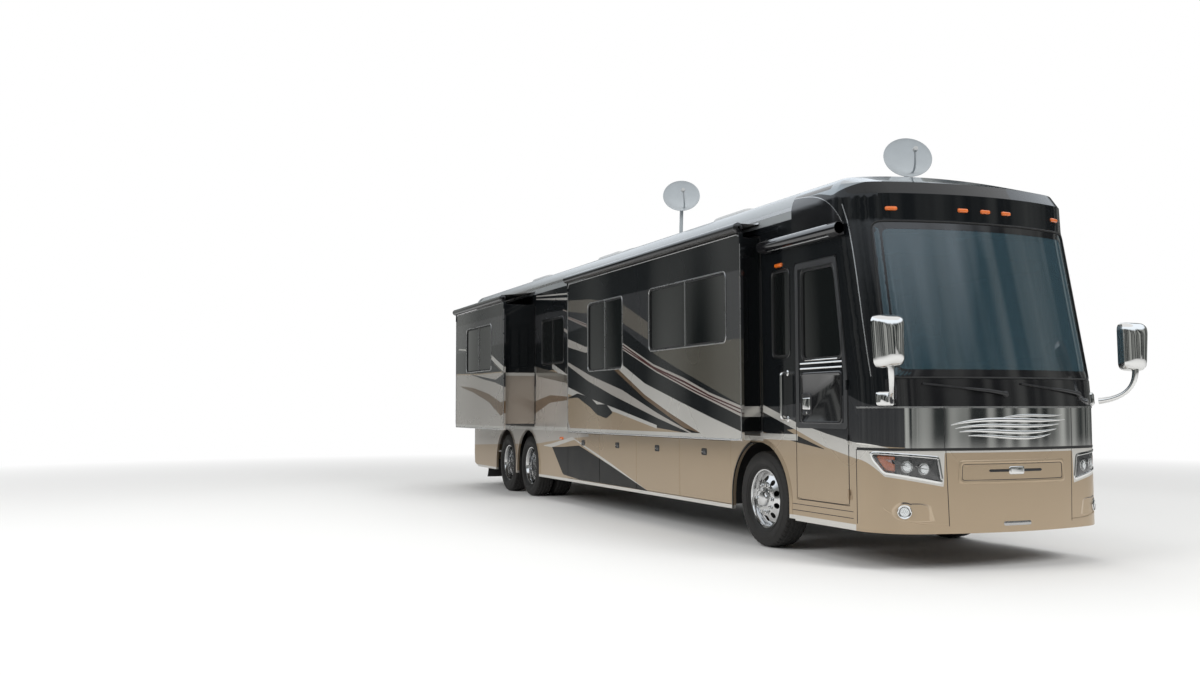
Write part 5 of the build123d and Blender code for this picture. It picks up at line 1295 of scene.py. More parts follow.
def about_axle(x, radius, station, turn):
    """Points round an axle: a place across the vehicle, a radius and an angle."""
    x, radius, turn = np.broadcast_arrays(x, radius, turn)
    return np.stack([x, at(station) + radius * np.sin(turn), TYRE_RADIUS + radius * np.cos(turn)], -1)


def tyre_skin(x, station):
    """A closed tyre about its axle: the grid's rows turned round, and the bore between the beads."""
    rows = about_axle((x + TREAD_X)[:, None], TREAD_RADIUS, station, TREAD_TURN)
    rows[..., 2] = np.maximum(rows[..., 2], GROUND_GAP)
    bore = [about_axle(x + across, BEAD_RADIUS, station, TREAD_TURN) for across in (BEAD_HALF, -BEAD_HALF)]
    return skin(np.concatenate([rows, np.array(bore), rows[:1]]), ends=False)


def wheel_sets(side, word):
    """Body, rim node, tyre node, station and the tyre places of each wheel on a side."""
    for axle, many in (("front", ""), ("drive", "s"), ("tag", "")):
        names = [f"{axle}_{part}{many}_{word}" for part in ("wheel", "rim", "tyre")]
        places = (side * WHEEL_X, side * TWIN_X) if many else (side * WHEEL_X,)
        yield *names, AXLES[axle], places


for side, word in SIDES:
    for body, rim, tyre, station, places in wheel_sets(side, word):
        for number, x in enumerate(places):
            hub = (x, at(station), TYRE_RADIUS)
            piece = put_mesh(f"{tyre}_tread_{number + 1}", *tyre_skin(x, station), RUBBER, body, core=hub, sharp=30)
            if number == 0:
                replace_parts(piece, tyre)
            lines = []
            turn = np.linspace(0, 2 * math.pi, 96, endpoint=False)
            for way in (-1, 1):
                for radius, proud in RIB_RINGS:
                    path = about_axle(x + way * (proud - 0.0015), radius, station, turn)
                    lines.append(carried(path, circle(0.0022, 6), (way, 0, 0), loop=True))
            put_mesh(f"{tyre}_ribs_{number + 1}", *joined(lines), RUBBER, body)
print("tyre grid", TREAD_RADIUS.shape)

# %% [markdown]
# The wheels are forged and polished. A front disc stands out to its hub and a rear one is dished
# in. Each has ten round hand holes and ten nuts. The disc is built from ten equal sectors: in
# each sector a square patch with a round hole is stretched to fill the ring.

# %% Wheel discs
HOLES = 10
HOLE_RING = 0.205
HOLE_RADIUS = 0.030


def disc_sector(turn, inner, outer, depth, thick=0.012, steps=10):
    """A ring sector with a round hole: rays from the hole's edge out to the sector's border,
    each split into steps. depth gives the distance along the axle for a radius."""
    half = math.pi / HOLES
    count = 40
    ray = np.linspace(0, 2 * math.pi, count, endpoint=False) + math.pi / count
    hole = np.stack([HOLE_RADIUS * np.cos(ray), HOLE_RING + HOLE_RADIUS * np.sin(ray)], -1)
    square = np.stack([np.cos(ray), np.sin(ray)], -1)
    square /= np.abs(square).max(axis=1)[:, None]
    radius = (inner + outer) / 2 + square[:, 1] * (outer - inner) / 2
    angle = square[:, 0] * half
    border = np.stack([radius * np.sin(angle), radius * np.cos(angle)], -1)
    t = np.linspace(0, 1, steps)[:, None, None]
    flat = hole * (1 - t) + border * t
    lip = np.concatenate([[hole], flat])
    r = np.hypot(lip[..., 0], lip[..., 1])
    along = depth(r)
    along[0] -= thick
    spin = np.arctan2(lip[..., 0], lip[..., 1]) + turn
    return np.stack([along, r * np.sin(spin), r * np.cos(spin)], -1)


def wheel_piece(parts, x, side, station):
    """Moves wheel parts drawn about the axle, with outward as +X, to their place."""
    points, faces = joined(parts)
    return points * (side, 1, 1) + (x, at(station), TYRE_RADIUS), faces


def spun(profile, sides=96):
    """A profile of (outward, radius) points turned about the axle."""
    profile = np.asarray(profile, dtype=float)
    turn = np.linspace(0, 2 * math.pi, sides, endpoint=False)
    ring = np.stack([np.zeros(sides), np.sin(turn), np.cos(turn)], -1)
    return profile[:, None, :1] * (1, 0, 0) + profile[:, None, 1:] * ring[None]


def nut(turn, ring, base, height=0.030, radius=0.0165):
    """A wheel nut: a six-sided prism on a round washer with a domed end."""
    washer = [(0, radius * 1.35), (0.004, radius * 1.35), (0.0045, radius)]
    profile = [*washer, (height * 0.8, radius), (height, radius * 0.75), (height + 0.003, 0.001)]
    rings = []
    for level, (along, r) in enumerate(profile):
        spin = np.linspace(0, 2 * math.pi, 12, endpoint=False)
        flats = r if level < 2 else r * (1 + 0.07 * np.cos(6 * spin))
        rings.append(np.stack([np.full(12, base + along), flats * np.sin(spin), ring + flats * np.cos(spin)], -1))
    rings = np.array(rings)
    y, z = rings[..., 1].copy(), rings[..., 2].copy()
    rings[..., 1] = y * math.cos(turn) + z * math.sin(turn)
    rings[..., 2] = z * math.cos(turn) - y * math.sin(turn)
    return skin(rings)


def convex_depth(r):
    """The front disc: it rises from the rim's well towards the hub with a soft shoulder."""
    return np.interp(r, [0.090, 0.150, 0.175, 0.250, 0.276], [0.112, 0.110, 0.106, 0.066, 0.048])


def concave_depth(r):
    """The rear disc: a flat ring at the bottom of the dish, with a curved wall out to the rim."""
    return np.interp(r, [0.100, 0.165, 0.228, 0.255, 0.276], [-0.148, -0.148, -0.134, -0.110, -0.084])


BARREL = [(-0.108, 0.303), (-0.103, 0.309), (-0.098, 0.303), (-0.094, 0.288), (-0.060, 0.276),
          (0.060, 0.276), (0.092, 0.286), (0.098, 0.300), (0.104, 0.309), (0.109, 0.304),
          (0.106, 0.292), (0.085, 0.281), (0.048, 0.275)]
FRONT_MIDDLE = [(0.112, 0.098), (0.116, 0.088), (0.118, 0.080), (0.138, 0.077),
                (0.148, 0.070), (0.152, 0.050), (0.1535, 0.002)]
REAR_MIDDLE = [(-0.146, 0.112), (-0.120, 0.106), (-0.050, 0.100), (-0.020, 0.090),
               (-0.004, 0.066), (0.004, 0.030), (0.005, 0.002)]
FRONT_DRUM = [(-0.10, 0.20), (0.028, 0.20), (0.028, 0.05)]
REAR_DRUM = [(-0.24, 0.20), (-0.19, 0.20), (-0.19, 0.05)]
TWIN_DISC = [(0.048, 0.275), (0.10, 0.262), (0.150, 0.228), (0.167, 0.200)]
NUTS = 10
# Disc, middle, drum, and the place and radius of the nuts' ring
FRONT_WHEEL = (convex_depth, FRONT_MIDDLE, FRONT_DRUM, 0.110, 0.143)
REAR_WHEEL = (concave_depth, REAR_MIDDLE, REAR_DRUM, -0.148, 0.142)
HUB_BLACK = Finish("hub_shadow", (0.02, 0.02, 0.02), roughness=0.5).mottle(10, 0.2, 0.1)

for side, word in SIDES:
    for body, rim, tyre, station, places in wheel_sets(side, word):
        kind = FRONT_WHEEL if rim.startswith("front") else REAR_WHEEL
        depth, middle, drum, nut_base, nut_ring = kind
        cores = [(x - side * 0.6, at(station), TYRE_RADIUS) for x in places]
        x = places[0]
        parts = [skin(spun(BARREL), ends=False)]
        for hole in range(HOLES):
            sector = disc_sector(2 * math.pi * hole / HOLES, 0.165, 0.276, depth)
            parts.append(skin(sector, ends=False))
        inside = [(float(depth(np.array(r))), r) for r in (0.165, 0.150, 0.120)]
        parts.append(skin(spun(inside + middle), ends="last"))
        disc = wheel_piece(parts, x, side, station)
        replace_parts(put_mesh(rim + "_disc", *disc, POLISHED, body, core=cores[0], sharp=35), rim)
        nuts = [nut(2 * math.pi * (n + 0.5) / NUTS, nut_ring, nut_base) for n in range(NUTS)]
        put_mesh(rim + "_nuts", *wheel_piece(nuts, x, side, station), CHROME, body)
        drum = skin(spun(drum), ends="last")
        put_mesh(rim + "_brake", *wheel_piece([drum], x, side, station), HUB_BLACK, body)
        if len(places) > 1:
            twin = [skin(spun(BARREL), ends=False), skin(spun(TWIN_DISC), ends=False)]
            twin = wheel_piece(twin, places[1], side, station)
            put_mesh(rim + "_inner", *twin, IRON, body, core=cores[1])
print("discs made of", HOLES, "sectors")

# %% [markdown]
# The lower nose has a shallow framed recess in its middle, with a blank bright plate on a dark
# slot, and a thin bright slot under it. Seams part its mouldings, two grooves run along each side,
# and a lip sweeps down from each fog lamp.

# %% Lower nose
recess = [(-0.600, 0.765), (0.600, 0.765), (0.590, 0.975), (-0.590, 0.975)]
steps = [(0.0, 0.0006), (0.010, 0.007), (0.022, 0.007), (0.034, 0.0010)]
put_mesh("fascia_recess", *skin(stepped(on_nose, recess, 0.035, steps, 0.02), ends=False), COACH_PAINT, core=BODY_CORE)
inner_line = on_nose(nested(recess, 0.035, [inset for inset, _ in steps], 0.02)[-1])
shadow_section = flat_bar(0.003, -0.002, 0.0022)
put_mesh("fascia_recess_line", *carried(inner_line, shadow_section, nose_normal(inner_line), loop=True), SATIN_BLACK)
plinth = lens(on_nose, oblong(-0.085, 0.842, 0.085, 0.918), 0.022, 0.010)
put_mesh("fascia_plinth", *plinth, CHROME, core=BODY_CORE)
rings = stepped(on_nose, oblong(-0.30, 0.868, 0.30, 0.892), 0.010, [(0.0, 0.0012), (0.006, 0.0030)], 0.02)
put_mesh("fascia_slot", *skin(rings, ends="last"), SATIN_BLACK, core=BODY_CORE)
rings = stepped(on_nose, oblong(-0.155, 0.392, 0.155, 0.430), 0.014, [(0.0, 0.0012), (0.008, 0.0040)], 0.02)
put_mesh("fascia_lower_slot", *skin(rings, ends="last"), ALLOY_TRIM, core=BODY_CORE)
seam_section = flat_bar(0.003, -0.002, 0.0008)
seam_heights = np.linspace(0.40, 1.070, 20)
cuts = []
for x in (-0.69, 0.69):
    line = on_nose(np.stack([x + 0.02 * np.sign(x) * np.linspace(0, 1, 20), seam_heights], -1))
    cuts.append(carried(line, seam_section, nose_normal(line)))
for side in (RIGHT, LEFT):
    line = np.stack([np.full(20, 0.60), seam_heights], -1)
    cuts.append(carried(on_side(line, side), seam_section, side_normal(line, side)))
put_mesh("fascia_seams", *joined(cuts), SEAL)
grooves = []
for side in (RIGHT, LEFT):
    for z in (0.440, 0.500):
        line = evenly([(0.66, z), (1.72, z)], 0.05)
        grooves.append(carried(on_side(line, side), shadow_section, side_normal(line, side)))
put_mesh("sill_grooves", *joined(grooves), SATIN_BLACK, core=None)
swoop = []
lip_section = [(-0.004, -0.002), (-0.004, 0.001), (0.0, 0.004), (0.006, 0.001), (0.006, -0.002)]
for side in (RIGHT, LEFT):
    line = on_nose(bezier((1.205, 0.560), (1.10, 0.430), (0.95, 0.420), (0.70, 0.418), 40) * (side, 1))
    swoop.append(carried(line, lip_section, nose_normal(line)))
put_mesh("fascia_swoop", *joined(swoop), COACH_PAINT)
print("lower nose seams", len(cuts), "grooves", len(grooves))

# %% [markdown]
# Each bay door has a flush paddle latch near its top: a dark cup with a bright paddle in it. A
# round lock sits beside the paddle.

# %% Bay door latches
BAY_FRONT, BAY_WIDE = 2.98, 1.30
BAY_LOCK = [(0.0, 0.009), (0.004, 0.009), (0.005, 0.006), (0.005, 0.001)]
for side, word in SIDES:
    for number in range(BAY_DOORS):
        door, middle = f"bay_door_{word}_{number + 1}", BAY_FRONT + BAY_WIDE * (number + 0.5)

        def on_bay(line, out=0.0, side=side):
            return on_wall(line, side, out)

        behind = (0, at(middle), 0.94)
        steps = [(0.0, 0.0005), (0.005, 0.003), (0.010, 0.0012)]
        rings = stepped(on_bay, oblong(middle - 0.07, 0.905, middle + 0.07, 0.985), 0.015, steps, 0.02)
        put_mesh(door + "_cup", *skin(rings, ends="last"), SATIN_BLACK, door, core=behind)
        paddle = oblong(middle - 0.05, 0.920, middle + 0.02, 0.970)
        put_mesh(door + "_paddle", *lens(on_bay, paddle, 0.010, 0.005), CHARCOAL_TRIM, door, core=behind)
        lock = turned(BAY_LOCK, (side * HALF, at(middle + 0.045), 0.945), (side, 0, 0), 16)
        put_mesh(door + "_lock", *lock, CHROME, door)
print("bay latches", 2 * BAY_DOORS)

# %% [markdown]
# On the roof stand three air conditioners and two vents. Each has a moulded shell: the plan
# outline is repeated upwards and drawn in where the top rounds over. Dark slots on the sides let
# the air in, and ribs stiffen the top.

# %% Roof units
ROOF_UNITS = [
    ("conditioner_1", 0.0, 4.300, 5.250, 0.350, 0.260),
    ("conditioner_2", 0.0, 8.450, 9.400, 0.350, 0.260),
    ("conditioner_3", 0.0, 11.900, 12.850, 0.350, 0.260),
    ("vent_1", -0.5, 7.000, 7.450, 0.225, 0.100),
    ("vent_2", 0.5, 10.200, 10.650, 0.225, 0.100),
]


def crown_z(x):
    """The height of the bowed roof over a width."""
    return CROWN - ROOF_BOW + np.sqrt(ROOF_BOW**2 - np.asarray(x) ** 2)


# Each ring of a shell: how far it is drawn in, and its share of the height
UNIT_STEPS = [(0.0, 0.0), (0.0, 0.25), (0.0, 0.55), (0.012, 0.80), (0.034, 0.93), (0.070, 0.99), (0.110, 1.0)]
RIB = [(-0.012, 0.0), (-0.007, 0.0075), (0.007, 0.0075), (0.012, 0.0)]

for name, x, s0, s1, half, rise in ROOF_UNITS:
    low, high = float(crown_z(abs(x) + half)) - 0.012, CROWN + rise - 0.004

    def raised(line, share, low=low, high=high):
        return np.stack([line[:, 0], at(line[:, 1]), np.full(len(line), low + (high - low) * share)], -1)

    rings = stepped(raised, oblong(x - half, s0, x + half, s1), 0.09, UNIT_STEPS, 0.03)
    shell = put_mesh(name + "_shell", *skin(rings), UNIT_WHITE, sharp=50)
    if name == ROOF_UNITS[0][0]:
        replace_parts(shell, "roof_units")
    slots = []
    rows = np.linspace(low + 0.10, low + 0.17, 4) if rise > 0.2 else [low + 0.06]
    for way in (-1, 1):
        slot_x = x + way * (half + 0.001)
        for z in rows:
            line = np.array([(slot_x, at(s0 + 0.14), z), (slot_x, at(s1 - 0.14), z)])
            slots.append(carried(line, flat_bar(0.005, -0.002, 0.002), (way, 0, 0)))
    put_mesh(name + "_slots", *joined(slots), SATIN_BLACK)
    ridges = []
    for offset in np.linspace(-0.6, 0.6, 5):
        rib_x = x + offset * half
        line = np.array([(rib_x, at(s0 + 0.17), high - 0.004), (rib_x, at(s1 - 0.17), high - 0.004)])
        ridges.append(carried(line, RIB, (0, 0, 1)))
    put_mesh(name + "_ribs", *joined(ridges), UNIT_WHITE)
print("roof units", len(ROOF_UNITS))

# %% [markdown]
# A satellite dish is a shallow paraboloid of painted sheet with a rolled rim. A bent arm carries
# the receiver in front of it, and a bracket joins it to the post.

# %% Satellite dishes
DISHES = [("dish_rear", -0.600, 5.600, 0.570), ("dish_front", 0.0, 1.500, 0.290)]
DISH_AIM = np.array([-0.383, -0.821, 0.423])
DISH_RADIUS, DISH_DEPTH = 0.245, 0.058
for number, (name, x, station, rise) in enumerate(DISHES):
    centre = np.array([x, at(station), CROWN + rise])
    axis = DISH_AIM / np.linalg.norm(DISH_AIM)
    bowl = [(DISH_DEPTH * (r / DISH_RADIUS) ** 2, r) for r in np.linspace(0.002, DISH_RADIUS - 0.006, 12)]
    rim = [(0.060, DISH_RADIUS), (0.056, DISH_RADIUS + 0.002), (0.050, DISH_RADIUS - 0.002)]
    back = [(along - 0.006, r) for along, r in bowl[::-1]]
    dish = put_mesh(name + "_bowl", *turned(bowl + rim + back, centre, axis, 64), DISH_GREY)
    if number == 0:
        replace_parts(dish, "satellite_dishes")
    down = np.cross(axis, (1, 0, 0))
    down *= -np.sign(down[2])
    focus = centre + axis * 0.30 + down * 0.10
    low_point = centre + down * 0.24
    arm = bezier(centre - axis * 0.02 + down * 0.10, low_point, centre + axis * 0.16 + down * 0.24, focus, 20)
    put_mesh(name + "_arm", *carried(arm, circle(0.011, 10), np.cross(axis, down)), DISH_GREY)
    horn = [(-0.045, 0.002), (-0.045, 0.022), (0.0, 0.026), (0.010, 0.020), (0.012, 0.002)]
    put_mesh(name + "_receiver", *turned(horn, focus, centre - focus, 20), UNIT_WHITE)
    post_low = np.array([x, at(station) + 0.02, float(crown_z(x)) - 0.02])
    if station < CAP_REAR_Y - NOSE_Y:
        post_low[2] = CROWN - 0.03
    post_top = centre - axis * 0.05
    stem = bezier(post_low, post_low + (0, 0, 0.5 * rise), post_top + down * 0.06, post_top, 16)
    put_mesh(name + "_post", *carried(stem, circle(0.024, 16), (1, 0, 0)), DISH_GREY)
    flange = [(0.0, 0.085), (0.008, 0.085), (0.014, 0.070), (0.030, 0.034), (0.032, 0.002)]
    put_mesh(name + "_foot", *turned(flange, post_low + (0, 0, 0.018), (0, 0, 1), 28, up=(0, 1, 0)), UNIT_WHITE)
    bracket = [(-0.062, 0.002), (-0.062, 0.045), (-0.012, 0.062), (-0.004, 0.060)]
    put_mesh(name + "_bracket", *turned(bracket, centre, axis, 20), SATIN_BLACK)
print("dishes", len(DISHES))

# %% [markdown]
# Two wipers park on the black panel: a tapered arm from a domed pivot, and a long thin blade with
# its rubber edge on the glass side.

# %% Wipers
WIPERS = [((-0.10, 1.560), (-0.52, 1.612), (-0.92, 1.655)), ((0.85, 1.560), (0.44, 1.612), (0.06, 1.655))]
for number, (pivot, middle, tip) in enumerate(WIPERS):
    line = bezier(pivot, (pivot[0] * 0.7 + middle[0] * 0.3, pivot[1] + 0.03), middle, middle, 20)
    lift = 0.012 + 0.022 * np.sin(np.linspace(0.15, 1, 20) * math.pi)
    path = on_nose(line, lift)
    width = np.linspace(0.017, 0.008, 20)
    ring = circle(1.0, 10) * (1.0, 0.6)
    points, faces = carried(path, ring, nose_normal(path))
    shape = points.reshape(20, 10, 3)
    shape = path[:, None] + (shape - path[:, None]) * width[:, None, None]
    arm = put_mesh(f"wiper_arm_{number + 1}", shape.reshape(-1, 3), faces, SATIN_BLACK)
    if number == 0:
        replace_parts(arm, "wipers")
    along = np.linspace(-1, 1, 24)[:, None]
    reach = np.array(tip) - np.array(middle)
    blade = on_nose(np.array(middle) + along * reach * 0.95, 0.010)
    section = [(-0.004, -0.007), (-0.009, 0.004), (-0.006, 0.011), (0.006, 0.011), (0.009, 0.004), (0.004, -0.007)]
    put_mesh(f"wiper_blade_{number + 1}", *carried(blade, section, nose_normal(blade)), SATIN_BLACK)
    cap = [(-0.004, 0.030), (0.012, 0.030), (0.022, 0.024), (0.026, 0.012), (0.027, 0.001)]
    put_mesh(f"wiper_pivot_{number + 1}", *nose_turned(cap, *pivot, sides=24), SATIN_BLACK)
print("wipers", len(WIPERS))

# %% [markdown]
# The tail is nearly flat with tight corners. It carries lamp clusters, a louvred engine door, a
# blank plate recess, clearance lamps and a rubber guard under the bumper.

# %% Tail skin, lamps and louvres
TAIL_HEIGHTS = [0.35, 0.60, CROWN - 0.55, CROWN - 0.22, CROWN + 0.02]
TAIL_AHEAD = [0.040, 0.0, 0.060, 0.110, 0.250]


def on_tail(outline, out=0.0):
    """Points of (x, height) laid on the tail: a wide bow with a tight corner at each side."""
    outline = np.asarray(outline, dtype=float)
    x, z = outline[..., 0], outline[..., 1]
    bow, corner, corner_x = 6.0 + out, 0.17 + out, HALF - 0.17
    corner_y = bow - np.sqrt((bow - corner) ** 2 - corner_x**2)
    flat = bow - np.sqrt(bow**2 - np.minimum(np.abs(x), 1.148) ** 2)
    bend = corner_y - np.sqrt(np.maximum(corner**2 - (np.abs(x) - corner_x) ** 2, 0))
    inward = np.where(np.abs(x) > 1.148, bend, flat)
    return np.stack([x, TAIL_Y - np.interp(z, TAIL_HEIGHTS, TAIL_AHEAD) - inward + out, z], -1)


tail_out = (0, 1, 0)
TAIL_LENSES = (("amber", 0.815, 0.925, AMBER), ("reverse", 0.935, 1.045, CLEAR_LENS), ("red", 1.055, 1.165, RED_LENS))
LOUVRE = [(-0.020, -0.012), (-0.015, 0.005), (0.004, 0.000), (0.016, -0.012)]
for side, word in SIDES:
    for tone, z0, z1, finish in TAIL_LENSES:
        corners = mirrored(oblong(1.072, z0, 1.188, z1), side)
        put_mesh(f"tail_lens_{tone}_{word}", *lens(on_tail, corners, 0.016, 0.010), finish, core=(0, TAIL_Y - 1.5, 1.0))
    corners = mirrored(oblong(1.058, 0.80, 1.202, 1.18), side)
    edge = nested(corners, 0.02, (0.0,), 0.02)[0]
    put_mesh("tail_bezel_" + word, *carried(on_tail(edge, 0.001), BEAD, tail_out, loop=True), CHROME)
clearance = []
for x in (-1.02, -0.22, 0.0, 0.22, 1.02):
    clearance.append(lens(on_tail, oblong(x - 0.05, 3.30, x + 0.05, 3.335), 0.014, 0.014))
put_mesh("tail_clearance_lamps", *joined(clearance), RED_LENS, core=None)
slats = []
for z in np.arange(0.85, 1.51, 0.050):
    line = on_tail(np.stack([np.linspace(-0.66, 0.66, 24), np.full(24, z)], -1))
    slats.append(carried(line, LOUVRE, tail_out))
put_mesh("engine_louvres", *joined(slats), SATIN_BLACK, "engine_door")
edge = nested(oblong(-0.72, 0.765, 0.72, 1.525), 0.05, (0.0,), 0.05)[0]
bead = carried(on_tail(edge), scaled(BEAD, 1.0, 0.45), tail_out, loop=True)
put_mesh("engine_door_bead", *bead, ALLOY_TRIM, "engine_door")
door_edge = evenly(flat_bar(0.806, 1.585, 0.634), 0.03)
put_mesh("engine_door_edge", *carried(on_tail(door_edge), seam_section, tail_out), SEAL, "engine_door")
steps = [(0.0, 0.0008), (0.02, 0.005), (0.3, 0.005), (0.6, 0.005)]
rings = stepped(on_tail, oblong(-0.98, 1.86, 0.98, 3.12), 0.10, steps, 0.05)
put_mesh("tail_gloss_panel", *skin(rings, ends="last"), GLOSS_BLACK, core=(0, TAIL_Y - 3, 2.4))
rings = stepped(on_tail, oblong(-0.17, 1.672, 0.17, 1.842), 0.015, [(0.0, 0.001), (0.008, 0.006)], 0.02)
put_mesh("plate_place", *skin(rings, ends="last"), SATIN_BLACK, core=(0, TAIL_Y - 1, 1.7))
line = on_tail(np.stack([np.linspace(-1.20, 1.20, 60), np.full(60, 0.575)], -1))
put_mesh("tail_bumper_line", *carried(line, scaled(BEAD, 2, 0.5), tail_out), CHROME)
guard_x, fall = np.meshgrid(np.linspace(-1.15, 1.15, 60), np.linspace(0, 1, 12))
GUARD_STATION = 12.90
waves = 0.006 * np.sin(guard_x * 14)
front = np.stack([guard_x, at(GUARD_STATION + 0.10 * fall**2) + waves, 0.50 - 0.34 * fall], -1)
loop = np.concatenate([front, front[::-1] + (0, 0.008, 0)])
guard = skin(np.concatenate([loop, loop[:1]]), wrap=False, ends=False)
put_mesh("stone_guard", *guard, SEAL, core=(0, at(GUARD_STATION) + 0.05, 0.33))
pipe = [(0.0, 0.050), (0.16, 0.050), (0.165, 0.054), (0.17, 0.050), (0.168, 0.045), (0.0, 0.045)]
put_mesh("exhaust_end", *turned(pipe, (0.72, at(13.42), 0.42), (0, 1, 0), 28), CHROME)
print("clearance lamps", len(clearance), "slats", len(slats))

# %% [markdown]
# The cab shows through the windshield. The seats are padded leather. Each cushion starts as a
# rounded block and is blown up by a cloth simulation, so that its faces crown and its sides pull
# in. Both seats use the same cushions.

# %% Cab seats
SEAT_X = (-0.600, 0.640)
SEAT_TILT, BACK_TILT = 0.06, 0.16


def cushion_block(size, centre, tilt=0.0, power=5.0, rows=20, columns=40):
    """A rounded block: a superellipse in plan, drawn in towards its top and bottom by another one."""
    level = np.linspace(-1, 1, rows)
    shrink = (1 - np.abs(level) ** power) ** (1 / power)
    shrink = np.maximum(shrink, 0.02)
    turn = np.linspace(0, 2 * math.pi, columns, endpoint=False)
    c, s = np.cos(turn), np.sin(turn)
    reach = (np.abs(c) ** power + np.abs(s) ** power) ** (-1 / power)
    plan = np.stack([c * reach, s * reach], -1)
    heights = np.broadcast_to(level[:, None, None], (rows, columns, 1))
    block = np.concatenate([plan[None] * shrink[:, None, None], heights], -1)
    block = block * np.asarray(size) / 2
    y, z = block[..., 1].copy(), block[..., 2].copy()
    block[..., 1] = y * math.cos(tilt) - z * math.sin(tilt)
    block[..., 2] = z * math.cos(tilt) + y * math.sin(tilt)
    return skin(block + np.asarray(centre))


def puffed(obj, cap=0.024):
    """Blows a cushion up with cloth pressure and limits how far any point moves."""
    remesh = obj.modifiers.new("remesh", "REMESH")
    remesh.mode = "VOXEL"
    remesh.voxel_size = 0.012
    bpy.context.view_layer.objects.active = obj
    bpy.ops.object.modifier_apply(modifier="remesh")
    start = np.empty(len(obj.data.vertices) * 3)
    obj.data.vertices.foreach_get("co", start)
    cloth = obj.modifiers.new("cloth", "CLOTH")
    cloth.settings.quality = 4
    cloth.settings.use_pressure = True
    cloth.settings.uniform_pressure_force = 4.0
    cloth.settings.effector_weights.gravity = 0.0
    cloth.point_cache.frame_end = 20
    for step in range(1, 16):
        bpy.context.scene.frame_set(step)
    bpy.ops.object.modifier_apply(modifier="cloth")
    moved = np.empty(len(start))
    obj.data.vertices.foreach_get("co", moved)
    shift = (moved - start).reshape(-1, 3)
    length = np.linalg.norm(shift, axis=1)[:, None]
    shift *= np.minimum(1.0, cap / np.maximum(length, 1e-6))
    obj.data.vertices.foreach_set("co", (start.reshape(-1, 3) + shift).ravel())
    obj.data.update()
    bpy.context.scene.frame_set(1)


CUSHIONS = [
    ("seat", (0.50, 0.52, 0.13), (0.0, 1.690, 1.585), SEAT_TILT, 0.7),
    ("back", (0.48, 0.13, 0.66), (0.0, 2.045, 1.950), -BACK_TILT, 0.7),
    ("headrest", (0.26, 0.10, 0.15), (0.0, 2.125, 2.285), -BACK_TILT, 0.8),
    ("bolster_right", (0.07, 0.44, 0.09), (-0.225, 1.690, 1.625), SEAT_TILT, 0.8),
    ("bolster_left", (0.07, 0.44, 0.09), (0.225, 1.690, 1.625), SEAT_TILT, 0.8),
]
for name, size, (x, station, z), tilt, fill in CUSHIONS:
    block = cushion_block(size, (x + SEAT_X[0], at(station), z), tilt)
    first = put_mesh(f"cab_{name}_right", *block, LEATHER, sharp=180)
    puffed(first)
    finer = first.modifiers.new("finer", "SUBSURF")
    finer.levels = finer.render_levels = 1
    mesh = first.data.copy()
    place = np.empty(len(mesh.vertices) * 3)
    mesh.vertices.foreach_get("co", place)
    place = place.reshape(-1, 3) + (SEAT_X[1] - SEAT_X[0], 0, 0)
    mesh.vertices.foreach_set("co", place.ravel())
    second = bpy.data.objects.new(f"cab_{name}_left", mesh)
    bpy.context.scene.collection.objects.link(second)
    finer = second.modifiers.new("finer", "SUBSURF")
    finer.levels = finer.render_levels = 1
    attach(second, "coach")
    for piece in (first, second):
        if name == "seat" and piece is first:
            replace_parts(piece, "cab_seats")
for x, word in zip(SEAT_X, ("right", "left")):
    base = cushion_block((0.40, 0.42, 0.30), (x, at(1.70), 1.352), 0.0, 8.0)
    put_mesh("seat_base_" + word, *base, SATIN_BLACK, sharp=50)
    welt = rounded(oblong(x - 0.25, 1.43, x + 0.25, 1.95), 0.09, 8)
    path = np.stack([welt[:, 0], at(welt[:, 1]), 1.585 + (welt[:, 1] - 1.69) * math.tan(SEAT_TILT)], -1)
    put_mesh("seat_piping_" + word, *carried(path, circle(0.005, 6), (0, 0, 1), loop=True), SATIN_BLACK)
print("cushions", 2 * len(CUSHIONS))

# %% [markdown]
# The steering wheel is a padded ring with three spokes and a hub on the column of the dashboard.
# Two sun visors hang over the glass.

# %% Steering wheel and visors
WHEEL_CENTRE = np.array([0.620, at(1.010), 1.660])
COLUMN_LEAN = math.radians(55)
WHEEL_AXIS = np.array([0.0, math.sin(COLUMN_LEAN), math.cos(COLUMN_LEAN)])
across = np.array([1.0, 0.0, 0.0])
upward = np.cross(WHEEL_AXIS, across)
turn = np.linspace(0, 2 * math.pi, 72, endpoint=False)
ring_path = WHEEL_CENTRE + 0.216 * (np.cos(turn)[:, None] * across + np.sin(turn)[:, None] * upward)
put_mesh("steering_ring", *carried(ring_path, circle(0.0185, 12), WHEEL_AXIS, loop=True), LEATHER)
spokes = []
for angle in (0.0, math.pi, math.pi * 1.5):
    way = math.cos(angle) * across + math.sin(angle) * upward
    line = WHEEL_CENTRE + np.linspace(0.03, 0.205, 8)[:, None] * way
    spokes.append(carried(line, flat_bar(0.022, -0.011, 0.012), WHEEL_AXIS))
put_mesh("steering_spokes", *joined(spokes), SATIN_BLACK)
hub = [(-0.015, 0.056), (0.018, 0.062), (0.030, 0.050), (0.034, 0.030), (0.035, 0.002)]
put_mesh("steering_hub", *turned(hub, WHEEL_CENTRE, WHEEL_AXIS, 32), SATIN_BLACK)
for x, word in ((-0.55, "right"), (0.55, "left")):
    visor = cushion_block((0.78, 0.024, 0.20), (x, at(0.62), 2.97), 0.25, 7.0)
    put_mesh("sun_visor_" + word, *visor, SATIN_BLACK, sharp=60)
print("steering spokes", len(spokes))

# %% [markdown]
# The studio is a pale floor that fades to white far out, a white world for the camera and for
# reflections, and a dimmer one for the light that falls on the object. Two large soft lamps
# stand in for the sun from the front right and for the open sky.

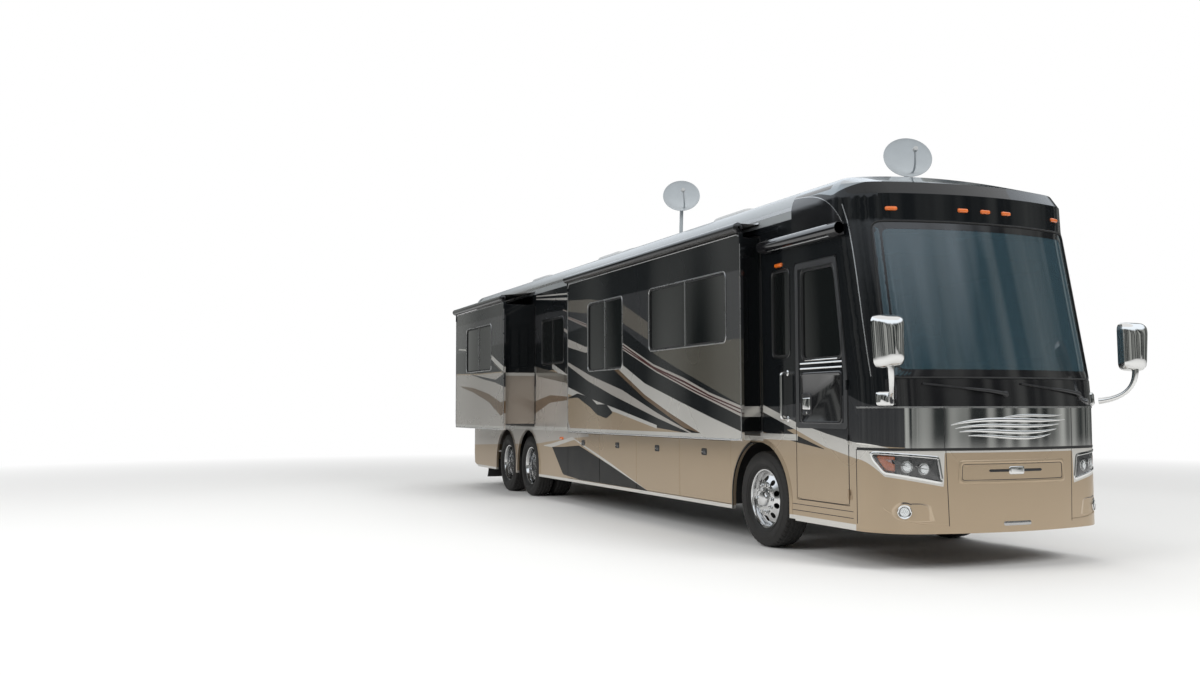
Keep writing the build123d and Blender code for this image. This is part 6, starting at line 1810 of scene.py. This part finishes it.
# %% Floor, world and lamps
floor_mesh = bpy.data.meshes.new("studio_floor")
FLOOR_REACH = 160.0
corners = [(x, y, 0) for x, y in oblong(-FLOOR_REACH, -FLOOR_REACH, FLOOR_REACH, FLOOR_REACH)]
floor_mesh.from_pydata(corners, [], [(0, 1, 2, 3)])
floor = bpy.data.objects.new("studio_floor", floor_mesh)
bpy.context.scene.collection.objects.link(floor)
ground = Finish("studio_floor", (0.84, 0.84, 0.83), roughness=0.75)
far = (ground.x * ground.x + ground.y * ground.y).math("SQRT")
glow = ground.node("ShaderNodeEmission", Color=(1, 1, 1, 1))
path = ground.node("ShaderNodeLightPath")
ground.tree.links.new((Num(ground.tree, path.outputs["Is Camera Ray"]) * 0.4 + 0.6).socket, glow.inputs["Strength"])
ground.material.cycles.emission_sampling = "NONE"
fade = ground.node("ShaderNodeMixShader")
ground.tree.links.new(((far - 9.5) / 12.0).clipped().socket, fade.inputs[0])
ground.tree.links.new(ground.shader.outputs[0], fade.inputs[1])
ground.tree.links.new(glow.outputs[0], fade.inputs[2])
ground.tree.links.new(fade.outputs[0], ground.tree.nodes["Material Output"].inputs[0])
floor_mesh.materials.append(ground.material)

world = bpy.data.worlds.new("studio_world")
bpy.context.scene.world = world
world.use_nodes = True
sky = world.node_tree
backdrop = sky.nodes["Background"]
backdrop.inputs["Color"].default_value = (1, 1, 1, 1)
paths = sky.nodes.new("ShaderNodeLightPath")
seen = Num(sky, paths.outputs["Is Camera Ray"]).most(Num(sky, paths.outputs["Is Glossy Ray"]))
seen = seen.most(Num(sky, paths.outputs["Is Transmission Ray"]))
sky.links.new((seen * 0.55 + 0.45).socket, backdrop.inputs["Strength"])


def softbox(name, place, toward, size, power):
    """A large square lamp that faces a point."""
    light = bpy.data.lights.new(name, "AREA")
    light.size = size
    light.energy = power
    lamp = bpy.data.objects.new(name, light)
    lamp.visible_glossy = False
    lamp.visible_transmission = False
    bpy.context.scene.collection.objects.link(lamp)
    aim = Vector(place) - Vector(toward)
    lamp.rotation_euler = aim.to_track_quat("Z", "Y").to_euler()
    lamp.location = place


softbox("key", (6.0, -22.0, 14.0), (0, -4, 1.5), 9.0, 2600)
softbox("side", (-20.0, -6.0, 13.0), (0, 0, 1.5), 12.0, 2200)
softbox("top", (0.0, 2.0, 18.0), (0, 0, 0), 14.0, 1500)

# %% [markdown]
# Black paint and chrome show what stands round them. In a bare white studio they turn grey and
# flat, so photographers hang dark cloth outside the picture. This is one such curtain on a wide
# arc. It is seen only in reflections. Soft upright folds run over it, and its wavy upper edge
# fades to white. It hangs higher on the left, where the windshield looks up at it.

# %% Dark curtain for the reflections
CURTAIN_RADIUS = 24.0
CURTAIN_TOP = 26.0
CURTAIN_SIDES = 96
curtain_mesh = bpy.data.meshes.new("dark_curtain")
arc = np.linspace(0, 2 * math.pi, CURTAIN_SIDES + 1)[:-1]
ring = np.stack([np.cos(arc) * CURTAIN_RADIUS, np.sin(arc) * CURTAIN_RADIUS], -1)
points = np.concatenate([np.column_stack([ring, np.full(CURTAIN_SIDES, z)]) for z in (0.05, CURTAIN_TOP)])
near = np.arange(CURTAIN_SIDES)
beside = (near + 1) % CURTAIN_SIDES
walls = np.column_stack([near, beside, beside + CURTAIN_SIDES, near + CURTAIN_SIDES])
curtain_mesh.from_pydata(points.tolist(), [], walls.tolist())
cloth = Finish("dark_curtain", (0.02, 0.02, 0.02), roughness=0.9)
folds = cloth.noise(0.55, 0.6, (1.0, 1.0, 0.10))
wander = (cloth.noise(0.22, 3.0, (1.0, 1.0, 0.25)) - 0.5) * 9.0
leftward = (cloth.x * (1.0 / CURTAIN_RADIUS)).clipped()
fade = ((cloth.z + wander - leftward * 4.5 - 8.5) / 4.0).clipped()
dark = cloth.blend((0.022, 0.026, 0.026), (0.46, 0.47, 0.45), ((folds - 0.40) * 3.0).clipped())
dark = cloth.blend(dark, (0.50, 0.50, 0.49), cloth.z.below(0.30, 0.7))
tone = cloth.blend(dark, (1.15, 1.23, 1.32), fade)
shine = cloth.node("ShaderNodeEmission", Color=tone)
cloth.tree.links.new(shine.outputs[0], cloth.tree.nodes["Material Output"].inputs[0])
cloth.material.cycles.emission_sampling = "NONE"
curtain_mesh.materials.append(cloth.material)
curtain = bpy.data.objects.new("dark_curtain", curtain_mesh)
bpy.context.scene.collection.objects.link(curtain)
for ray in ("camera", "diffuse", "transmission", "volume_scatter", "shadow"):
    setattr(curtain, "visible_" + ray, False)
print("curtain faces", len(curtain_mesh.polygons))

# %% [markdown]
# The camera stands where the photographer stood: about 8 m ahead of the nose on the door side, at
# eye height, with a moderate wide lens.

# %% Camera
CAMERA_PLACE = (-7.284, -14.982, 1.430)
CAMERA_YAW = 0.3789
CAMERA_PITCH = 0.0627
CAMERA_ROLL = -0.0022
CAMERA_LENS = 34.4

camera_data = bpy.data.cameras.new("camera")
camera_data.lens = CAMERA_LENS
camera_data.sensor_width = 36.0
camera_data.clip_end = 400.0
camera = bpy.data.objects.new("camera", camera_data)
bpy.context.scene.collection.objects.link(camera)
turn = Matrix.Rotation(-CAMERA_YAW, 4, "Z") @ Matrix.Rotation(math.pi / 2 + CAMERA_PITCH, 4, "X")
camera.matrix_world = Matrix.Translation(CAMERA_PLACE) @ turn @ Matrix.Rotation(CAMERA_ROLL, 4, "Z")
bpy.context.scene.camera = camera
bpy.context.scene.view_settings.view_transform = "Standard"
